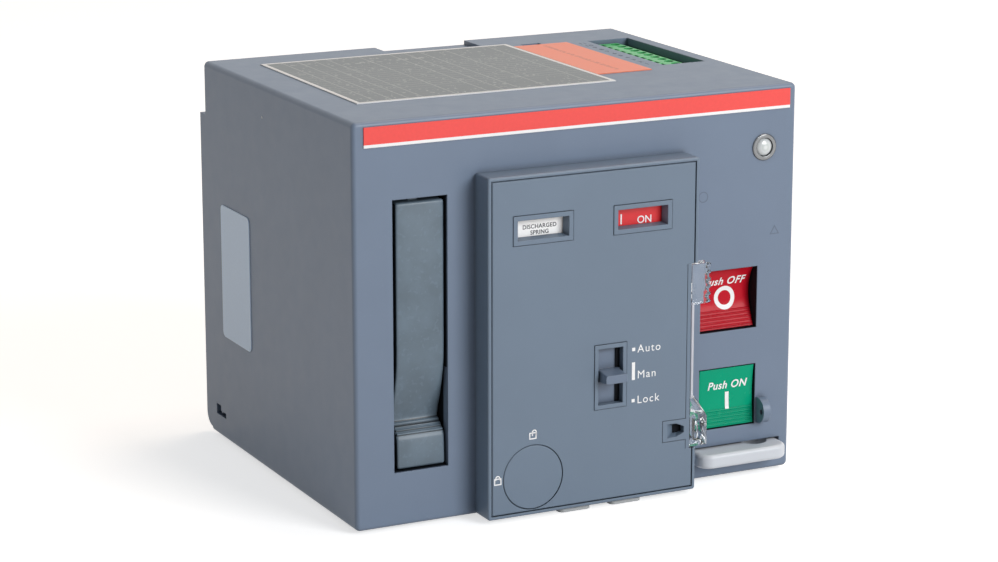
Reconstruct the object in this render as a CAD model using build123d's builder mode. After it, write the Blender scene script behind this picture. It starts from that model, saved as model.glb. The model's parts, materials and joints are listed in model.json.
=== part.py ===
from build123d import *
import os
from math import atan2, cos, degrees, hypot, pi, radians, sin, tan

os.makedirs("parts", exist_ok=True)

# Stored-energy motor operator for a moulded case breaker.
# Millimetres. X runs to the right, Y to the rear, Z up.
# The origin is the centre of the four fixing holes, on the mounting plane at the rear.

# ---------------------------------------------------------------- driving sizes
housing_width = 140.0
housing_height = 115.4
housing_depth = 109.4        # front face to mounting plane
housing_wall = 2.4
front_wall = 3.0
housing_corner_radius = 1.5
front_edge_radius = 1.2
skirt_overlap = 4.4          # side skirts reach past the mounting plane
skirt_height = 99.3
foot_height = 1.0
fit_gap = 0.15               # between pieces assembled by hand
slide_gap = 0.35             # beside every sliding piece
running_gap = 0.05           # radial, shafts and pins that turn
label_thickness = 0.25

left_x = -housing_width / 2
right_x = housing_width / 2
front_y = -housing_depth
rear_y = 0.0
base_z = -housing_height / 2
top_z = housing_height / 2
inner_left_x = left_x + housing_wall
inner_right_x = right_x - housing_wall
inner_front_y = front_y + front_wall
inner_base_z = base_z + housing_wall
inner_top_z = top_z - housing_wall

# Rear base and fixing
base_thickness = 4.0
fixing_spacing_x = 112.0
fixing_spacing_z = 84.0
fixing_hole_radius = 2.2
toggle_opening_width = 24.0
toggle_opening_height = 60.0
cover_screw_radius = 1.5
cover_screw_inset = 4.2      # from the housing's inner side wall
cover_screw_low = 24.0       # height above the base
cover_screw_high = housing_height - 23.4
cover_screw_length = 12.0    # below the rear base
cover_post_length = 22.0
cover_post_half = 4.0
screw_head_depth = 1.8
cross_slot_width = 0.7
base_front_y = rear_y - base_thickness

# Lever and its slot
slot_width = 16.6
slot_centre = 20.0           # from the left side
slot_low = 15.6
slot_high = housing_height - 22.2
lever_width = 14.8
lever_setback = 1.0          # behind the front face
lever_end_gap = 0.6
lever_pivot_depth = 6.5
lever_pivot_height = slot_high - 4.7
lever_pin_radius = 1.6
lever_swing = 72.0
lever_thickness = 10.0
heel_reach_gap = 0.5

# Raised centre panel
panel_width = 66.7
panel_low = 0.3
panel_high = housing_height - 17.0
panel_rise = 8.33
panel_rim = 1.0
panel_seam = 0.2
panel_plate_thickness = 2.0
panel_wall = 2.4
bay_low = 12.9
bay_high = 67.7
bay_depth = 3.35             # from the panel's right side
bay_floor = 0.4              # what is left of the frame behind the bay
panel_opening_inset = 5.0    # from the panel's edge to the housing's opening behind it

# Indicators
bezel_width = 18.6
bezel_height = 8.3
window_width = 16.0
window_height = 5.7
indicator_height = 82.8
spring_window_x = -16.3
status_window_x = 15.15
flag_travel = 7.0
flag_thickness = 1.0

# Selector
selector_x = 5.2
selector_height = 37.8
selector_bezel_width = 10.2
selector_bezel_height = 18.8
selector_window_width = 7.9
selector_window_height = 16.4
selector_travel = 6.2        # each way from the middle position
selector_handle_width = 6.8
selector_handle_rise = 3.9

# Key-lock blank
blank_x = -19.3
blank_height = 11.4
blank_radius = 9.5
blank_seam = 0.15

# Clear shutter
shutter_thickness = 1.6
shutter_grip_width = 5.6
grip_low = 55.5
grip_high = 67.3
eye_low = 13.3
eye_high = 28.0
seal_hole_radius = 0.8

# Seal lug beside the ON button
lug_inset = 9.0              # from the right side to the lug's outer face
lug_thickness = 2.5
lug_low = 15.0
lug_high = 22.6
lug_rise = 4.7

# Push buttons
button_window_width = 19.0
button_window_height = 18.4
button_gap = 0.4
button_inset = 21.4          # window centre from the right side
off_button_height = 53.1
on_button_height = 23.8
button_travel = 3.0
button_stem_width = 5.0

# Padlock slide
padlock_slot_width = 30.8
padlock_slot_height = 5.0
padlock_slot_height_above_base = 7.0
padlock_slot_inset = 18.7    # slot centre from the right side
padlock_plate_width = 29.5
padlock_plate_thickness = 4.3
padlock_rise = 7.3
padlock_in = 5.5             # how far it can be pushed in
padlock_rim = 4.3
padlock_hole_radius = 4.2    # fits a shackle of up to 8 mm
padlock_hole_offset = 7.0    # from the slide's middle
padlock_corner_radius = 4.0

# Signal lamp
lamp_inset = 10.5            # from the right side
lamp_drop = 18.0             # from the top
lamp_radius = 3.2
lamp_ring_radius = 3.9

# Top: terminal strip, labels, notch
terminal_poles = 11
terminal_pitch = 4.2
terminal_inset = 14.0        # plug's centre from the right side
terminal_centre_depth = 67.0
plug_width = 10.4
plug_drop = 1.3              # plug top under the housing's top
pocket_width = 14.3
pocket_length = 48.0
pocket_inset = 12.65         # pocket centre from the right side
notch_centre = 1.25
notch_width = 30.5
notch_start = housing_depth - 11.4
notch_drop = 1.3
notch_slot_width = 8.0
notch_slot_length = 3.5
cable_slot_x = 31.75
cable_slot_depth = 93.0
cable_slot_width = 6.5
cable_slot_length = 3.0

# Snap slots low on both sides
snap_front_depth = housing_depth - 11.6
snap_rear_depth = housing_depth - 3.9
snap_low = 6.8
snap_high = 10.0
snap_neck_length = 4.2
snap_neck_height = 1.6
snap_arm_thickness = 1.6
snap_arm_gap = 0.3

# Control board
board_height = housing_height - 19.4
board_thickness = 1.6
board_front_depth = 38.0
board_rear_depth = housing_depth - 13.4
board_post_radius = 2.0
board_post_inset = 3.0       # from the board's edges

# Drive train
gear_module = 1.0
main_teeth = 48
idler_pinion_teeth = 12
idler_teeth = 36
motor_teeth = 12
pressure_angle = 25.0
tooth_backlash = 0.16
gear_face = 4.0
main_axis_depth = 55.0
main_axis_height = 38.5
idler_direction = 60.0       # degrees above the rear, seen from the right side
motor_direction = 150.0
main_shaft_radius = 4.0
idler_pin_radius = 2.0
motor_shaft_radius = 1.5
motor_radius = 13.5
motor_end_room = 14.0        # from the motor to the right side plate
side_plate_thickness = 2.0
plate_beside_lever = 12.0    # left side plate, from the lever's middle
plate_beside_buttons = 14.6  # right side plate, from the buttons' middle
side_plate_front = 14.0
side_plate_low = 12.0
side_plate_high = housing_height - 6.4
gearbox_room = 12.0          # from the left side plate to the gearbox plate

# Charging link: a parallelogram between the lever's heel and the clutch carrier
crank_length = 14.0
link_thickness = 2.0
crank_thickness = 3.0
link_pin_radius = 1.5
link_half_width = 3.5

# Toggle carriage and closing springs
rod_radius = 2.5
rod_inset = 5.0              # from the carriage's side
rod_depth = housing_depth - 14.65
carriage_travel = 26.0
carriage_beside_gearbox = 2.0
carriage_height = 22.0
carriage_front = housing_depth - 23.4
carriage_rear = housing_depth - 5.9
toggle_pocket_width = 14.0
toggle_pocket_height = 15.5
toggle_pocket_front = housing_depth - 19.4
spring_wire = 1.6
spring_radius = 4.7
ledge_thickness = 3.0
ledge_low = 4.4
ledge_high = housing_height - 10.4


# ---------------------------------------------------------------- helpers
def up(height):
    """Z of a height above the housing's base."""
    return base_z + height


def behind(depth):
    """Y of a depth behind the housing's front face."""
    return front_y + depth


def block(x, y, z, mode=Mode.ADD):
    """A box between low and high values on each axis."""
    with Locations(((x[0] + x[1]) / 2, (y[0] + y[1]) / 2, (z[0] + z[1]) / 2)):
        Box(x[1] - x[0], y[1] - y[0], z[1] - z[0], mode=mode)


def rod_x(x0, x1, y, z, radius, mode=Mode.ADD):
    """A cylinder along X."""
    with Locations(Location(((x0 + x1) / 2, y, z), (0, 90, 0))):
        Cylinder(radius, x1 - x0, mode=mode)


def rod_y(y0, y1, x, z, radius, mode=Mode.ADD):
    """A cylinder along Y."""
    with Locations(Location((x, (y0 + y1) / 2, z), (90, 0, 0))):
        Cylinder(radius, y1 - y0, mode=mode)


def rod_z(z0, z1, x, y, radius, mode=Mode.ADD):
    """A cylinder along Z."""
    with Locations((x, y, (z0 + z1) / 2)):
        Cylinder(radius, z1 - z0, mode=mode)


def facing_front(y):
    """A plane at this Y that looks to the front, with X to the right and Z up."""
    return Plane(origin=(0, y, 0), x_dir=(1, 0, 0), z_dir=(0, -1, 0))


def bar(x0, x1, start, end, radius, mode=Mode.ADD):
    """A flat bar with round ends between two (y, z) points."""
    dy = end[0] - start[0]
    dz = end[1] - start[1]
    with BuildSketch(Plane.YZ.offset(x0)) as outline:
        with Locations(Location(((start[0] + end[0]) / 2, (start[1] + end[1]) / 2, 0),
                                (0, 0, degrees(atan2(dz, dy))))):
            SlotCenterToCenter(hypot(dy, dz), 2 * radius)
    extrude(outline.sketch, amount=x1 - x0, mode=mode)


def gear_outline(teeth, turn):
    """Points of a spur gear's outline, with one tooth centred on the angle turn."""
    pitch_radius = gear_module * teeth / 2
    base_radius = pitch_radius * cos(radians(pressure_angle))
    tip_radius = pitch_radius + 0.8 * gear_module
    root_radius = pitch_radius - 1.1 * gear_module

    def flank_angle(radius):
        """Half the tooth's angle at a radius: involute above the base circle, radial below."""
        reach = max(radius, base_radius)
        roll = (reach ** 2 / base_radius ** 2 - 1) ** 0.5
        involute = roll - atan2(roll, 1)
        pitch_involute = tan(radians(pressure_angle)) - radians(pressure_angle)
        half_pitch = pi / (2 * teeth) - tooth_backlash / (4 * pitch_radius)
        return half_pitch + pitch_involute - involute

    steps = 5
    low = max(root_radius, base_radius)
    radii = [low + (tip_radius - low) * i / steps for i in range(steps + 1)]
    if root_radius < base_radius:
        radii = [root_radius] + radii
    points = []
    for tooth in range(teeth):
        centre = radians(turn) + 2 * pi * tooth / teeth
        for radius in radii:
            points.append((radius, centre - flank_angle(radius)))
        for radius in reversed(radii):
            points.append((radius, centre + flank_angle(radius)))
    return [(radius * cos(angle), radius * sin(angle)) for radius, angle in points]


def gear(x, y, z, teeth, turn, face):
    """A spur gear about an axis along X."""
    with BuildSketch(Plane(origin=(x, y, z), x_dir=(0, 1, 0), z_dir=(1, 0, 0))) as outline:
        Polygon(*gear_outline(teeth, turn), align=None)
    extrude(outline.sketch, amount=face)


def polar(centre, distance, angle):
    """The (y, z) point at a distance and angle from another."""
    return (centre[0] + distance * cos(radians(angle)), centre[1] + distance * sin(radians(angle)))


# ---------------------------------------------------------------- shared places
lever_x = left_x + slot_centre
pivot = (behind(lever_pivot_depth), up(lever_pivot_height))
main_axis = (behind(main_axis_depth), up(main_axis_height))
idler_distance = gear_module * (main_teeth + idler_pinion_teeth) / 2
motor_distance = gear_module * (idler_teeth + motor_teeth) / 2
idler_axis = polar(main_axis, idler_distance, idler_direction)
motor_axis = polar(idler_axis, motor_distance, motor_direction)
# half way through the lever's swing both cranks stand square to the link
link_direction = degrees(atan2(pivot[1] - main_axis[1], pivot[0] - main_axis[0]))
crank_direction = link_direction - 90.0 + lever_swing / 2
heel_pin = polar(pivot, crank_length, crank_direction)
carrier_pin = polar(main_axis, crank_length, crank_direction)
panel_front_y = front_y - panel_rise
plate_back_y = panel_front_y + panel_plate_thickness
panel_side = panel_width / 2
indicator_z = up(indicator_height)
selector_z = up(selector_height)
blank_z = up(blank_height)
bay_x = panel_side - bay_depth
button_x = right_x - button_inset
button_heights = {"off": up(off_button_height), "on": up(on_button_height)}
lug_right_x = right_x - lug_inset
lug_left_x = lug_right_x - lug_thickness
lug_z = up((lug_low + lug_high) / 2)
seal_hole_y = front_y - 0.66 * lug_rise
padlock_x = right_x - padlock_slot_inset
padlock_z = up(padlock_slot_height_above_base)
lamp_x = right_x - lamp_inset
lamp_z = top_z - lamp_drop
pocket_x = right_x - pocket_inset
terminal_x = right_x - terminal_inset
terminal_y = behind(terminal_centre_depth)
terminal_length = (terminal_poles + 0.2) * terminal_pitch
cover_screw_places = [(side * (inner_right_x - cover_screw_inset), up(height))
                      for side in (-1, 1) for height in (cover_screw_low, cover_screw_high)]
fixing_places = [(side * fixing_spacing_x / 2, level * fixing_spacing_z / 2)
                 for side in (-1, 1) for level in (-1, 1)]
toggle_top_z = carriage_travel / 2          # toggle centre with the breaker on
left_plate_x = lever_x + plate_beside_lever
right_plate_x = button_x - plate_beside_buttons
gearbox_plate_x = left_plate_x + gearbox_room
gearbox_right_x = gearbox_plate_x + side_plate_thickness
carriage_width = -2 * (gearbox_right_x + carriage_beside_gearbox)
rod_spacing = carriage_width - 2 * rod_inset
rod_places = [(side * rod_spacing / 2, behind(rod_depth)) for side in (-1, 1)]
motor_length = right_plate_x - gearbox_right_x - motor_end_room
left_plate_inner_x = left_plate_x + side_plate_thickness
right_plate_outer_x = right_plate_x + side_plate_thickness
main_gear_x = gearbox_plate_x - 1.0 - gear_face
idler_gear_x = main_gear_x - 0.5 - gear_face
tie_places = [(behind(27.0), up(22.0)), (behind(27.0), up(side_plate_high - 7.0)),
              (behind(78.0), up(17.0)), (behind(78.0), up(side_plate_high - 6.0))]
pillar_places = [(behind(32.0), up(70.0)), (behind(60.0), up(side_plate_high - 13.0)),
                 (behind(89.0), up(52.0))]
snap_y = (behind(snap_front_depth), behind(snap_rear_depth))
snap_z = (up(snap_low), up(snap_high))
board_z = up(board_height)
board_top_z = board_z + board_thickness
board_x = (terminal_x - 18.0, inner_right_x - 0.5)
board_y = (behind(board_front_depth), behind(board_rear_depth))

# ---------------------------------------------------------------- housing cover
with BuildPart() as housing_cover:
    block((left_x, right_x), (front_y, rear_y), (base_z, top_z))
    fillet(housing_cover.edges().filter_by(Axis.Y), housing_corner_radius)
    fillet(housing_cover.faces().sort_by(Axis.Y)[0].edges(), front_edge_radius)
    block((inner_left_x, inner_right_x), (inner_front_y, rear_y), (inner_base_z, inner_top_z),
          Mode.SUBTRACT)
    # side skirts that overlap the breaker
    skirt_low = base_z + housing_corner_radius
    arc_mid = polar((rear_y, skirt_low + skirt_overlap), skirt_overlap, -45.0)
    for low_x in (left_x, inner_right_x):
        with BuildSketch(Plane.YZ.offset(low_x)):
            with BuildLine():
                Polyline((rear_y, skirt_low), (rear_y, up(skirt_height)),
                         (rear_y + skirt_overlap, up(skirt_height)),
                         (rear_y + skirt_overlap, skirt_low + skirt_overlap))
                ThreePointArc((rear_y + skirt_overlap, skirt_low + skirt_overlap), arc_mid,
                              (rear_y, skirt_low))
            make_face()
        extrude(amount=housing_wall)
    # posts for the cover screws
    for x, z in cover_screw_places:
        wall_x = x + (cover_screw_inset if x > 0 else -cover_screw_inset)
        block((min(x - cover_post_half, wall_x), max(x + cover_post_half, wall_x)),
              (base_front_y - cover_post_length, base_front_y), (z - cover_post_half, z + cover_post_half))
        rod_y(base_front_y - cover_screw_length - 2.0, base_front_y, x, z, cover_screw_radius,
              Mode.SUBTRACT)
    # lever slot, with room for the lever's heel to turn behind the front face
    block((lever_x - slot_width / 2, lever_x + slot_width / 2), (front_y - 1, inner_front_y + 1),
          (up(slot_low), up(slot_high)), Mode.SUBTRACT)
    heel_sweep = hypot(lever_pivot_depth - lever_setback,
                       slot_high - lever_end_gap - lever_pivot_height) + heel_reach_gap
    rod_x(lever_x - slot_width / 2, lever_x + slot_width / 2, pivot[0], pivot[1], heel_sweep, Mode.SUBTRACT)
    # push button windows
    for z in button_heights.values():
        block((button_x - button_window_width / 2, button_x + button_window_width / 2),
              (front_y - 1, inner_front_y + 1),
              (z - button_window_height / 2, z + button_window_height / 2), Mode.SUBTRACT)
    # padlock slide slot
    block((padlock_x - padlock_slot_width / 2, padlock_x + padlock_slot_width / 2),
          (front_y - 1, inner_front_y + 1),
          (padlock_z - padlock_slot_height / 2, padlock_z + padlock_slot_height / 2), Mode.SUBTRACT)
    # signal lamp hole
    rod_y(front_y - 1, inner_front_y + 1, lamp_x, lamp_z, lamp_radius + fit_gap, Mode.SUBTRACT)
    # opening behind the raised panel
    block((-panel_side + panel_opening_inset, panel_side - panel_opening_inset),
          (front_y - 1, inner_front_y + 1),
          (up(bay_low), up(panel_high - panel_opening_inset)), Mode.SUBTRACT)
    # terminal pocket, cable slot, rear notch
    block((pocket_x - pocket_width / 2, pocket_x + pocket_width / 2),
          (terminal_y - pocket_length / 2, terminal_y + pocket_length / 2),
          (inner_top_z - 1, top_z + 1), Mode.SUBTRACT)
    block((cable_slot_x - cable_slot_width / 2, cable_slot_x + cable_slot_width / 2),
          (behind(cable_slot_depth - cable_slot_length / 2),
           behind(cable_slot_depth + cable_slot_length / 2)),
          (inner_top_z - 1, top_z + 1), Mode.SUBTRACT)
    block((notch_centre - notch_width / 2, notch_centre + notch_width / 2),
          (behind(notch_start), rear_y + 1),
          (top_z - notch_drop, top_z + 1), Mode.SUBTRACT)
    block((notch_centre - notch_width / 4 - notch_slot_width / 2,
           notch_centre - notch_width / 4 + notch_slot_width / 2),
          (behind(notch_start + 2.5), behind(notch_start + 2.5 + notch_slot_length)),
          (inner_top_z - 1, top_z), Mode.SUBTRACT)
    # snap slots, wide at the rear and narrow in front
    for wall_x in ((left_x - 1, inner_left_x + 1), (inner_right_x - 1, right_x + 1)):
        block(wall_x, (snap_y[0] + snap_neck_length, snap_y[1]), snap_z, Mode.SUBTRACT)
        block(wall_x, (snap_y[0], snap_y[0] + snap_neck_length), (snap_z[0], snap_z[0] + snap_neck_height),
              Mode.SUBTRACT)
    # seal lug
    with BuildSketch(Plane.YZ.offset(lug_left_x)) as lug_side:
        with BuildLine():
            Line((front_y, up(lug_high)), (front_y, up(lug_low)))
            ThreePointArc((front_y, up(lug_low)), (front_y - lug_rise, lug_z), (front_y, up(lug_high)))
        make_face()
    extrude(amount=lug_thickness)
    rod_x(lug_left_x - 1, lug_right_x + 1, seal_hole_y, lug_z, seal_hole_radius, Mode.SUBTRACT)
    # posts that carry the control board
    for x in (board_x[0] + 2 * board_post_inset, board_x[1] - board_post_inset):
        for y in (board_y[0] + board_post_inset, board_y[1] - board_post_inset):
            rod_z(board_top_z, inner_top_z, x, y, board_post_radius)
housing_cover.part.label = "housing_cover"
export_step(housing_cover.part, "parts/housing_cover.step")

# ---------------------------------------------------------------- rear base
with BuildPart() as rear_base:
    block((inner_left_x + fit_gap, inner_right_x - fit_gap), (base_front_y, rear_y),
          (inner_base_z + fit_gap, inner_top_z - fit_gap))
    block((-toggle_opening_width / 2, toggle_opening_width / 2), (base_front_y - 1, rear_y + 1),
          (-toggle_opening_height / 2, toggle_opening_height / 2), Mode.SUBTRACT)
    # ledges that hold the guide rods
    for height in (ledge_low, ledge_high):
        block((-rod_spacing / 2 - 7.0, rod_spacing / 2 + 7.0), (behind(rod_depth) - 6.5, base_front_y),
              (up(height), up(height) + ledge_thickness))
    for x, y in rod_places:
        rod_z(up(ledge_low) - 1, up(ledge_high) + ledge_thickness + 1, x, y, rod_radius, Mode.SUBTRACT)
    for x, z in fixing_places:
        rod_y(base_front_y - 1, rear_y + 1, x, z, fixing_hole_radius, Mode.SUBTRACT)
    # countersunk holes for the cover screws
    for x, z in cover_screw_places:
        rod_y(base_front_y - 1, rear_y + 1, x, z, cover_screw_radius + fit_gap, Mode.SUBTRACT)
        rod_y(rear_y - screw_head_depth, rear_y + 1, x, z, 2 * cover_screw_radius + fit_gap, Mode.SUBTRACT)
    # snap arms with nibs in the cover's slots
    snap_arm_front_y = snap_y[0] + snap_neck_length + snap_arm_gap
    snap_arm_z = (snap_z[0] + snap_arm_gap, snap_z[1] - snap_arm_gap)
    for side in (-1, 1):
        arm_inner = side * (inner_right_x - fit_gap - snap_arm_thickness)
        arm = sorted((side * (inner_right_x - fit_gap), arm_inner))
        nib = sorted((side * (right_x - housing_wall / 3), arm_inner))
        block(arm, (snap_arm_front_y, base_front_y), snap_arm_z)
        block(nib, (snap_arm_front_y, snap_y[1] - 2.0), snap_arm_z)
rear_base.part.label = "rear_base"
export_step(rear_base.part, "parts/rear_base.step")

# ---------------------------------------------------------------- cover screws
with BuildPart() as cover_screws:
    for x, z in cover_screw_places:
        rod_y(base_front_y - cover_screw_length, rear_y - screw_head_depth, x, z, cover_screw_radius)
        rod_y(rear_y - screw_head_depth, rear_y - 0.2, x, z, 2 * cover_screw_radius)
        for half_x, half_z in ((2.2, cross_slot_width / 2), (cross_slot_width / 2, 2.2)):
            block((x - half_x, x + half_x), (rear_y - 1.0, rear_y), (z - half_z, z + half_z), Mode.SUBTRACT)
cover_screws.part.label = "cover_screws"
export_step(cover_screws.part, "parts/cover_screws.step")

# ---------------------------------------------------------------- foot pads
with BuildPart() as foot_pads:
    for low_x, high_x in ((-10.0, 0.0), (6.4, 16.4)):
        block((low_x, high_x), (panel_front_y + 1.2, front_y + 6.0), (base_z - foot_height, base_z))
    for side in (-1, 1):
        block((side * 52.0 - 6.0, side * 52.0 + 6.0), (rear_y - 17.4, rear_y - 5.4),
              (base_z - foot_height, base_z))
    fillet(foot_pads.edges().filter_by(Axis.Z), 1.5)
foot_pads.part.label = "foot_pads"
export_step(foot_pads.part, "parts/foot_pads.step")

# ---------------------------------------------------------------- raised panel
with BuildPart() as panel_frame:
    block((-panel_side, panel_side), (panel_front_y, front_y), (up(panel_low), up(panel_high)))
    fillet(panel_frame.edges().filter_by(Axis.Y), 0.8)
    fillet(panel_frame.faces().sort_by(Axis.Y)[0].edges(), 0.5)
    block((-panel_side + panel_rim, panel_side - panel_rim), (panel_front_y - 1, plate_back_y),
          (up(panel_low) + panel_rim, up(panel_high) - panel_rim), Mode.SUBTRACT)
    block((-panel_side + panel_wall, panel_side - panel_wall), (plate_back_y - 1, front_y + 1),
          (up(panel_low) + panel_wall, up(panel_high) - panel_wall), Mode.SUBTRACT)
    # the shutter leaves the panel through this bay
    block((bay_x - 0.5, panel_side + 1), (panel_front_y - 1, front_y - bay_floor),
          (up(bay_low), up(bay_high)), Mode.SUBTRACT)
panel_frame.part.label = "panel_frame"
export_step(panel_frame.part, "parts/panel_frame.step")

plate_side = panel_side - panel_rim - panel_seam
insert_right_x = bay_x + 1.2
seal_pocket_z = (up(15.8), up(22.0))
seal_pocket_centre_z = (seal_pocket_z[0] + seal_pocket_z[1]) / 2
seal_pocket_left_x = bay_x - 7.6
with BuildPart() as panel_plate:
    block((-plate_side, plate_side), (panel_front_y, plate_back_y),
          (up(panel_low) + panel_rim + panel_seam, up(panel_high) - panel_rim - panel_seam))
    chamfer(panel_plate.faces().sort_by(Axis.Y)[0].edges(), 0.3)
    block((bay_x - fit_gap, plate_side + 1), (panel_front_y - 1, plate_back_y + 1),
          (up(bay_low), up(bay_high)), Mode.SUBTRACT)
    block((seal_pocket_left_x - fit_gap, plate_side + 1), (panel_front_y - 1, plate_back_y + 1),
          (seal_pocket_z[0] - fit_gap, seal_pocket_z[1] + fit_gap), Mode.SUBTRACT)
    for x in (spring_window_x, status_window_x):
        block((x - bezel_width / 2 - fit_gap, x + bezel_width / 2 + fit_gap),
              (panel_front_y - 1, plate_back_y + 1),
              (indicator_z - bezel_height / 2 - fit_gap, indicator_z + bezel_height / 2 + fit_gap),
              Mode.SUBTRACT)
    selector_half_width = selector_bezel_width / 2 + fit_gap
    selector_half_height = selector_bezel_height / 2 + fit_gap
    block((selector_x - selector_half_width, selector_x + selector_half_width),
          (panel_front_y - 1, plate_back_y + 1),
          (selector_z - selector_half_height, selector_z + selector_half_height), Mode.SUBTRACT)
    rod_y(panel_front_y - 1, plate_back_y + 1, blank_x, blank_z, blank_radius, Mode.SUBTRACT)
panel_plate.part.label = "panel_plate"
export_step(panel_plate.part, "parts/panel_plate.step")

with BuildPart() as keylock_blank:
    rod_y(panel_front_y, plate_back_y, blank_x, blank_z, blank_radius - blank_seam)
    chamfer(keylock_blank.faces().sort_by(Axis.Y)[0].edges(), 0.25)
    rod_y(plate_back_y, plate_back_y + 1.0, blank_x, blank_z, blank_radius - 1.0)
keylock_blank.part.label = "keylock_blank"
export_step(keylock_blank.part, "parts/keylock_blank.step")

with BuildPart() as seal_insert:
    block((bay_x, insert_right_x), (panel_front_y, plate_back_y), (up(bay_low), up(bay_high)))
    block((seal_pocket_left_x, insert_right_x), (panel_front_y, plate_back_y), seal_pocket_z)
    # pocket with a floor that falls to the right
    mouth_left_x = seal_pocket_left_x + 1.2
    mouth_right_x = bay_x - 0.6
    for y, left, middle, half_height in ((plate_back_y + 0.1, mouth_right_x - 2.6, mouth_right_x - 1.2, 1.2),
                                         (panel_front_y - 0.1, mouth_left_x, mouth_left_x + 3.0, 2.1)):
        with BuildSketch(facing_front(y)):
            Polygon((left, seal_pocket_centre_z - half_height), (middle, seal_pocket_centre_z - half_height),
                    (mouth_right_x, seal_pocket_centre_z - 0.9), (mouth_right_x, seal_pocket_centre_z + 0.9),
                    (middle, seal_pocket_centre_z + half_height), (left, seal_pocket_centre_z + half_height),
                    align=None)
    loft(mode=Mode.SUBTRACT)
seal_insert.part.label = "seal_insert"
export_step(seal_insert.part, "parts/seal_insert.step")

bezel_back_y = plate_back_y + 0.6
bezel_front_y = panel_front_y - 0.15
bezel_flange = 0.8


def window_bezel(x, z, outer, inner):
    """A bezel set in the panel plate: a chamfered rim, a clear window and a rear flange."""
    half_width = outer[0] / 2
    half_height = outer[1] / 2
    block((x - half_width, x + half_width), (bezel_front_y, plate_back_y),
          (z - half_height, z + half_height))
    block((x - half_width - bezel_flange, x + half_width + bezel_flange), (plate_back_y, bezel_back_y),
          (z - half_height - bezel_flange, z + half_height + bezel_flange))
    with BuildSketch(facing_front(bezel_front_y - 0.05)) as mouth:
        with Locations((x, z)):
            Rectangle(inner[0], inner[1])
    with BuildSketch(facing_front(bezel_back_y + 0.1)) as throat:
        with Locations((x, z)):
            Rectangle(inner[0] - 1.2, inner[1] - 0.9)
    loft([throat.sketch.face(), mouth.sketch.face()], mode=Mode.SUBTRACT)


indicator_bezel = (bezel_width, bezel_height)
indicator_window = (window_width, window_height)
with BuildPart() as spring_bezel:
    window_bezel(spring_window_x, indicator_z, indicator_bezel, indicator_window)
spring_bezel.part.label = "spring_bezel"
export_step(spring_bezel.part, "parts/spring_bezel.step")

with BuildPart() as status_bezel:
    window_bezel(status_window_x, indicator_z, indicator_bezel, indicator_window)
status_bezel.part.label = "status_bezel"
export_step(status_bezel.part, "parts/status_bezel.step")

with BuildPart() as selector_bezel:
    block((selector_x - selector_bezel_width / 2, selector_x + selector_bezel_width / 2),
          (bezel_front_y, plate_back_y),
          (selector_z - selector_bezel_height / 2, selector_z + selector_bezel_height / 2))
    block((selector_x - selector_window_width / 2, selector_x + selector_window_width / 2),
          (panel_front_y - 1, plate_back_y + 1),
          (selector_z - selector_window_height / 2, selector_z + selector_window_height / 2), Mode.SUBTRACT)
selector_bezel.part.label = "selector_bezel"
export_step(selector_bezel.part, "parts/selector_bezel.step")

# ---------------------------------------------------------------- flags and their guide
flag_front_y = bezel_back_y + slide_gap
flag_back_y = flag_front_y + flag_thickness
guide_front_y = flag_back_y + slide_gap
guide_thickness = 1.2
flag_width = bezel_width - 0.4
flag_low_z = indicator_z - bezel_height / 2 + 0.4
flag_high_z = flag_low_z + 2 * flag_travel + 0.6
flag_reach = flag_width / 2 + slide_gap
flag_tail_half = 1.5
flag_tail_end_y = behind(9.0)
guide_low_z = flag_low_z - flag_travel - 2.0
guide_high_z = up(panel_high) - panel_wall
rail_edges = [(-panel_side + panel_wall, spring_window_x - flag_reach),
              (spring_window_x + flag_reach, status_window_x - flag_reach),
              (status_window_x + flag_reach, panel_side - panel_wall)]

with BuildPart() as flag_guide:
    block((-panel_side + panel_wall, panel_side - panel_wall),
          (guide_front_y, guide_front_y + guide_thickness), (guide_low_z, guide_high_z))
    for rail_x in rail_edges:
        block(rail_x, (bezel_back_y, guide_front_y), (guide_low_z, guide_high_z))
    for x in (spring_window_x, status_window_x):
        block((x - 1.5 * flag_tail_half, x + 1.5 * flag_tail_half),
              (guide_front_y - 1, guide_front_y + guide_thickness + 1),
              (indicator_z - flag_travel - 2 * flag_tail_half, indicator_z + 2 * flag_tail_half),
              Mode.SUBTRACT)
flag_guide.part.label = "flag_guide"
export_step(flag_guide.part, "parts/flag_guide.step")


def state_flag(x):
    """A flag plate with a drive tail behind it."""
    block((x - flag_width / 2, x + flag_width / 2), (flag_front_y, flag_back_y), (flag_low_z, flag_high_z))
    block((x - flag_tail_half, x + flag_tail_half), (flag_back_y, flag_tail_end_y),
          (indicator_z - flag_tail_half, indicator_z + flag_tail_half))


with BuildPart() as spring_flag:
    state_flag(spring_window_x)
spring_flag.part.label = "spring_flag"
export_step(spring_flag.part, "parts/spring_flag.step")

with BuildPart() as status_flag:
    state_flag(status_window_x)
status_flag.part.label = "status_flag"
export_step(status_flag.part, "parts/status_flag.step")

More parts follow.
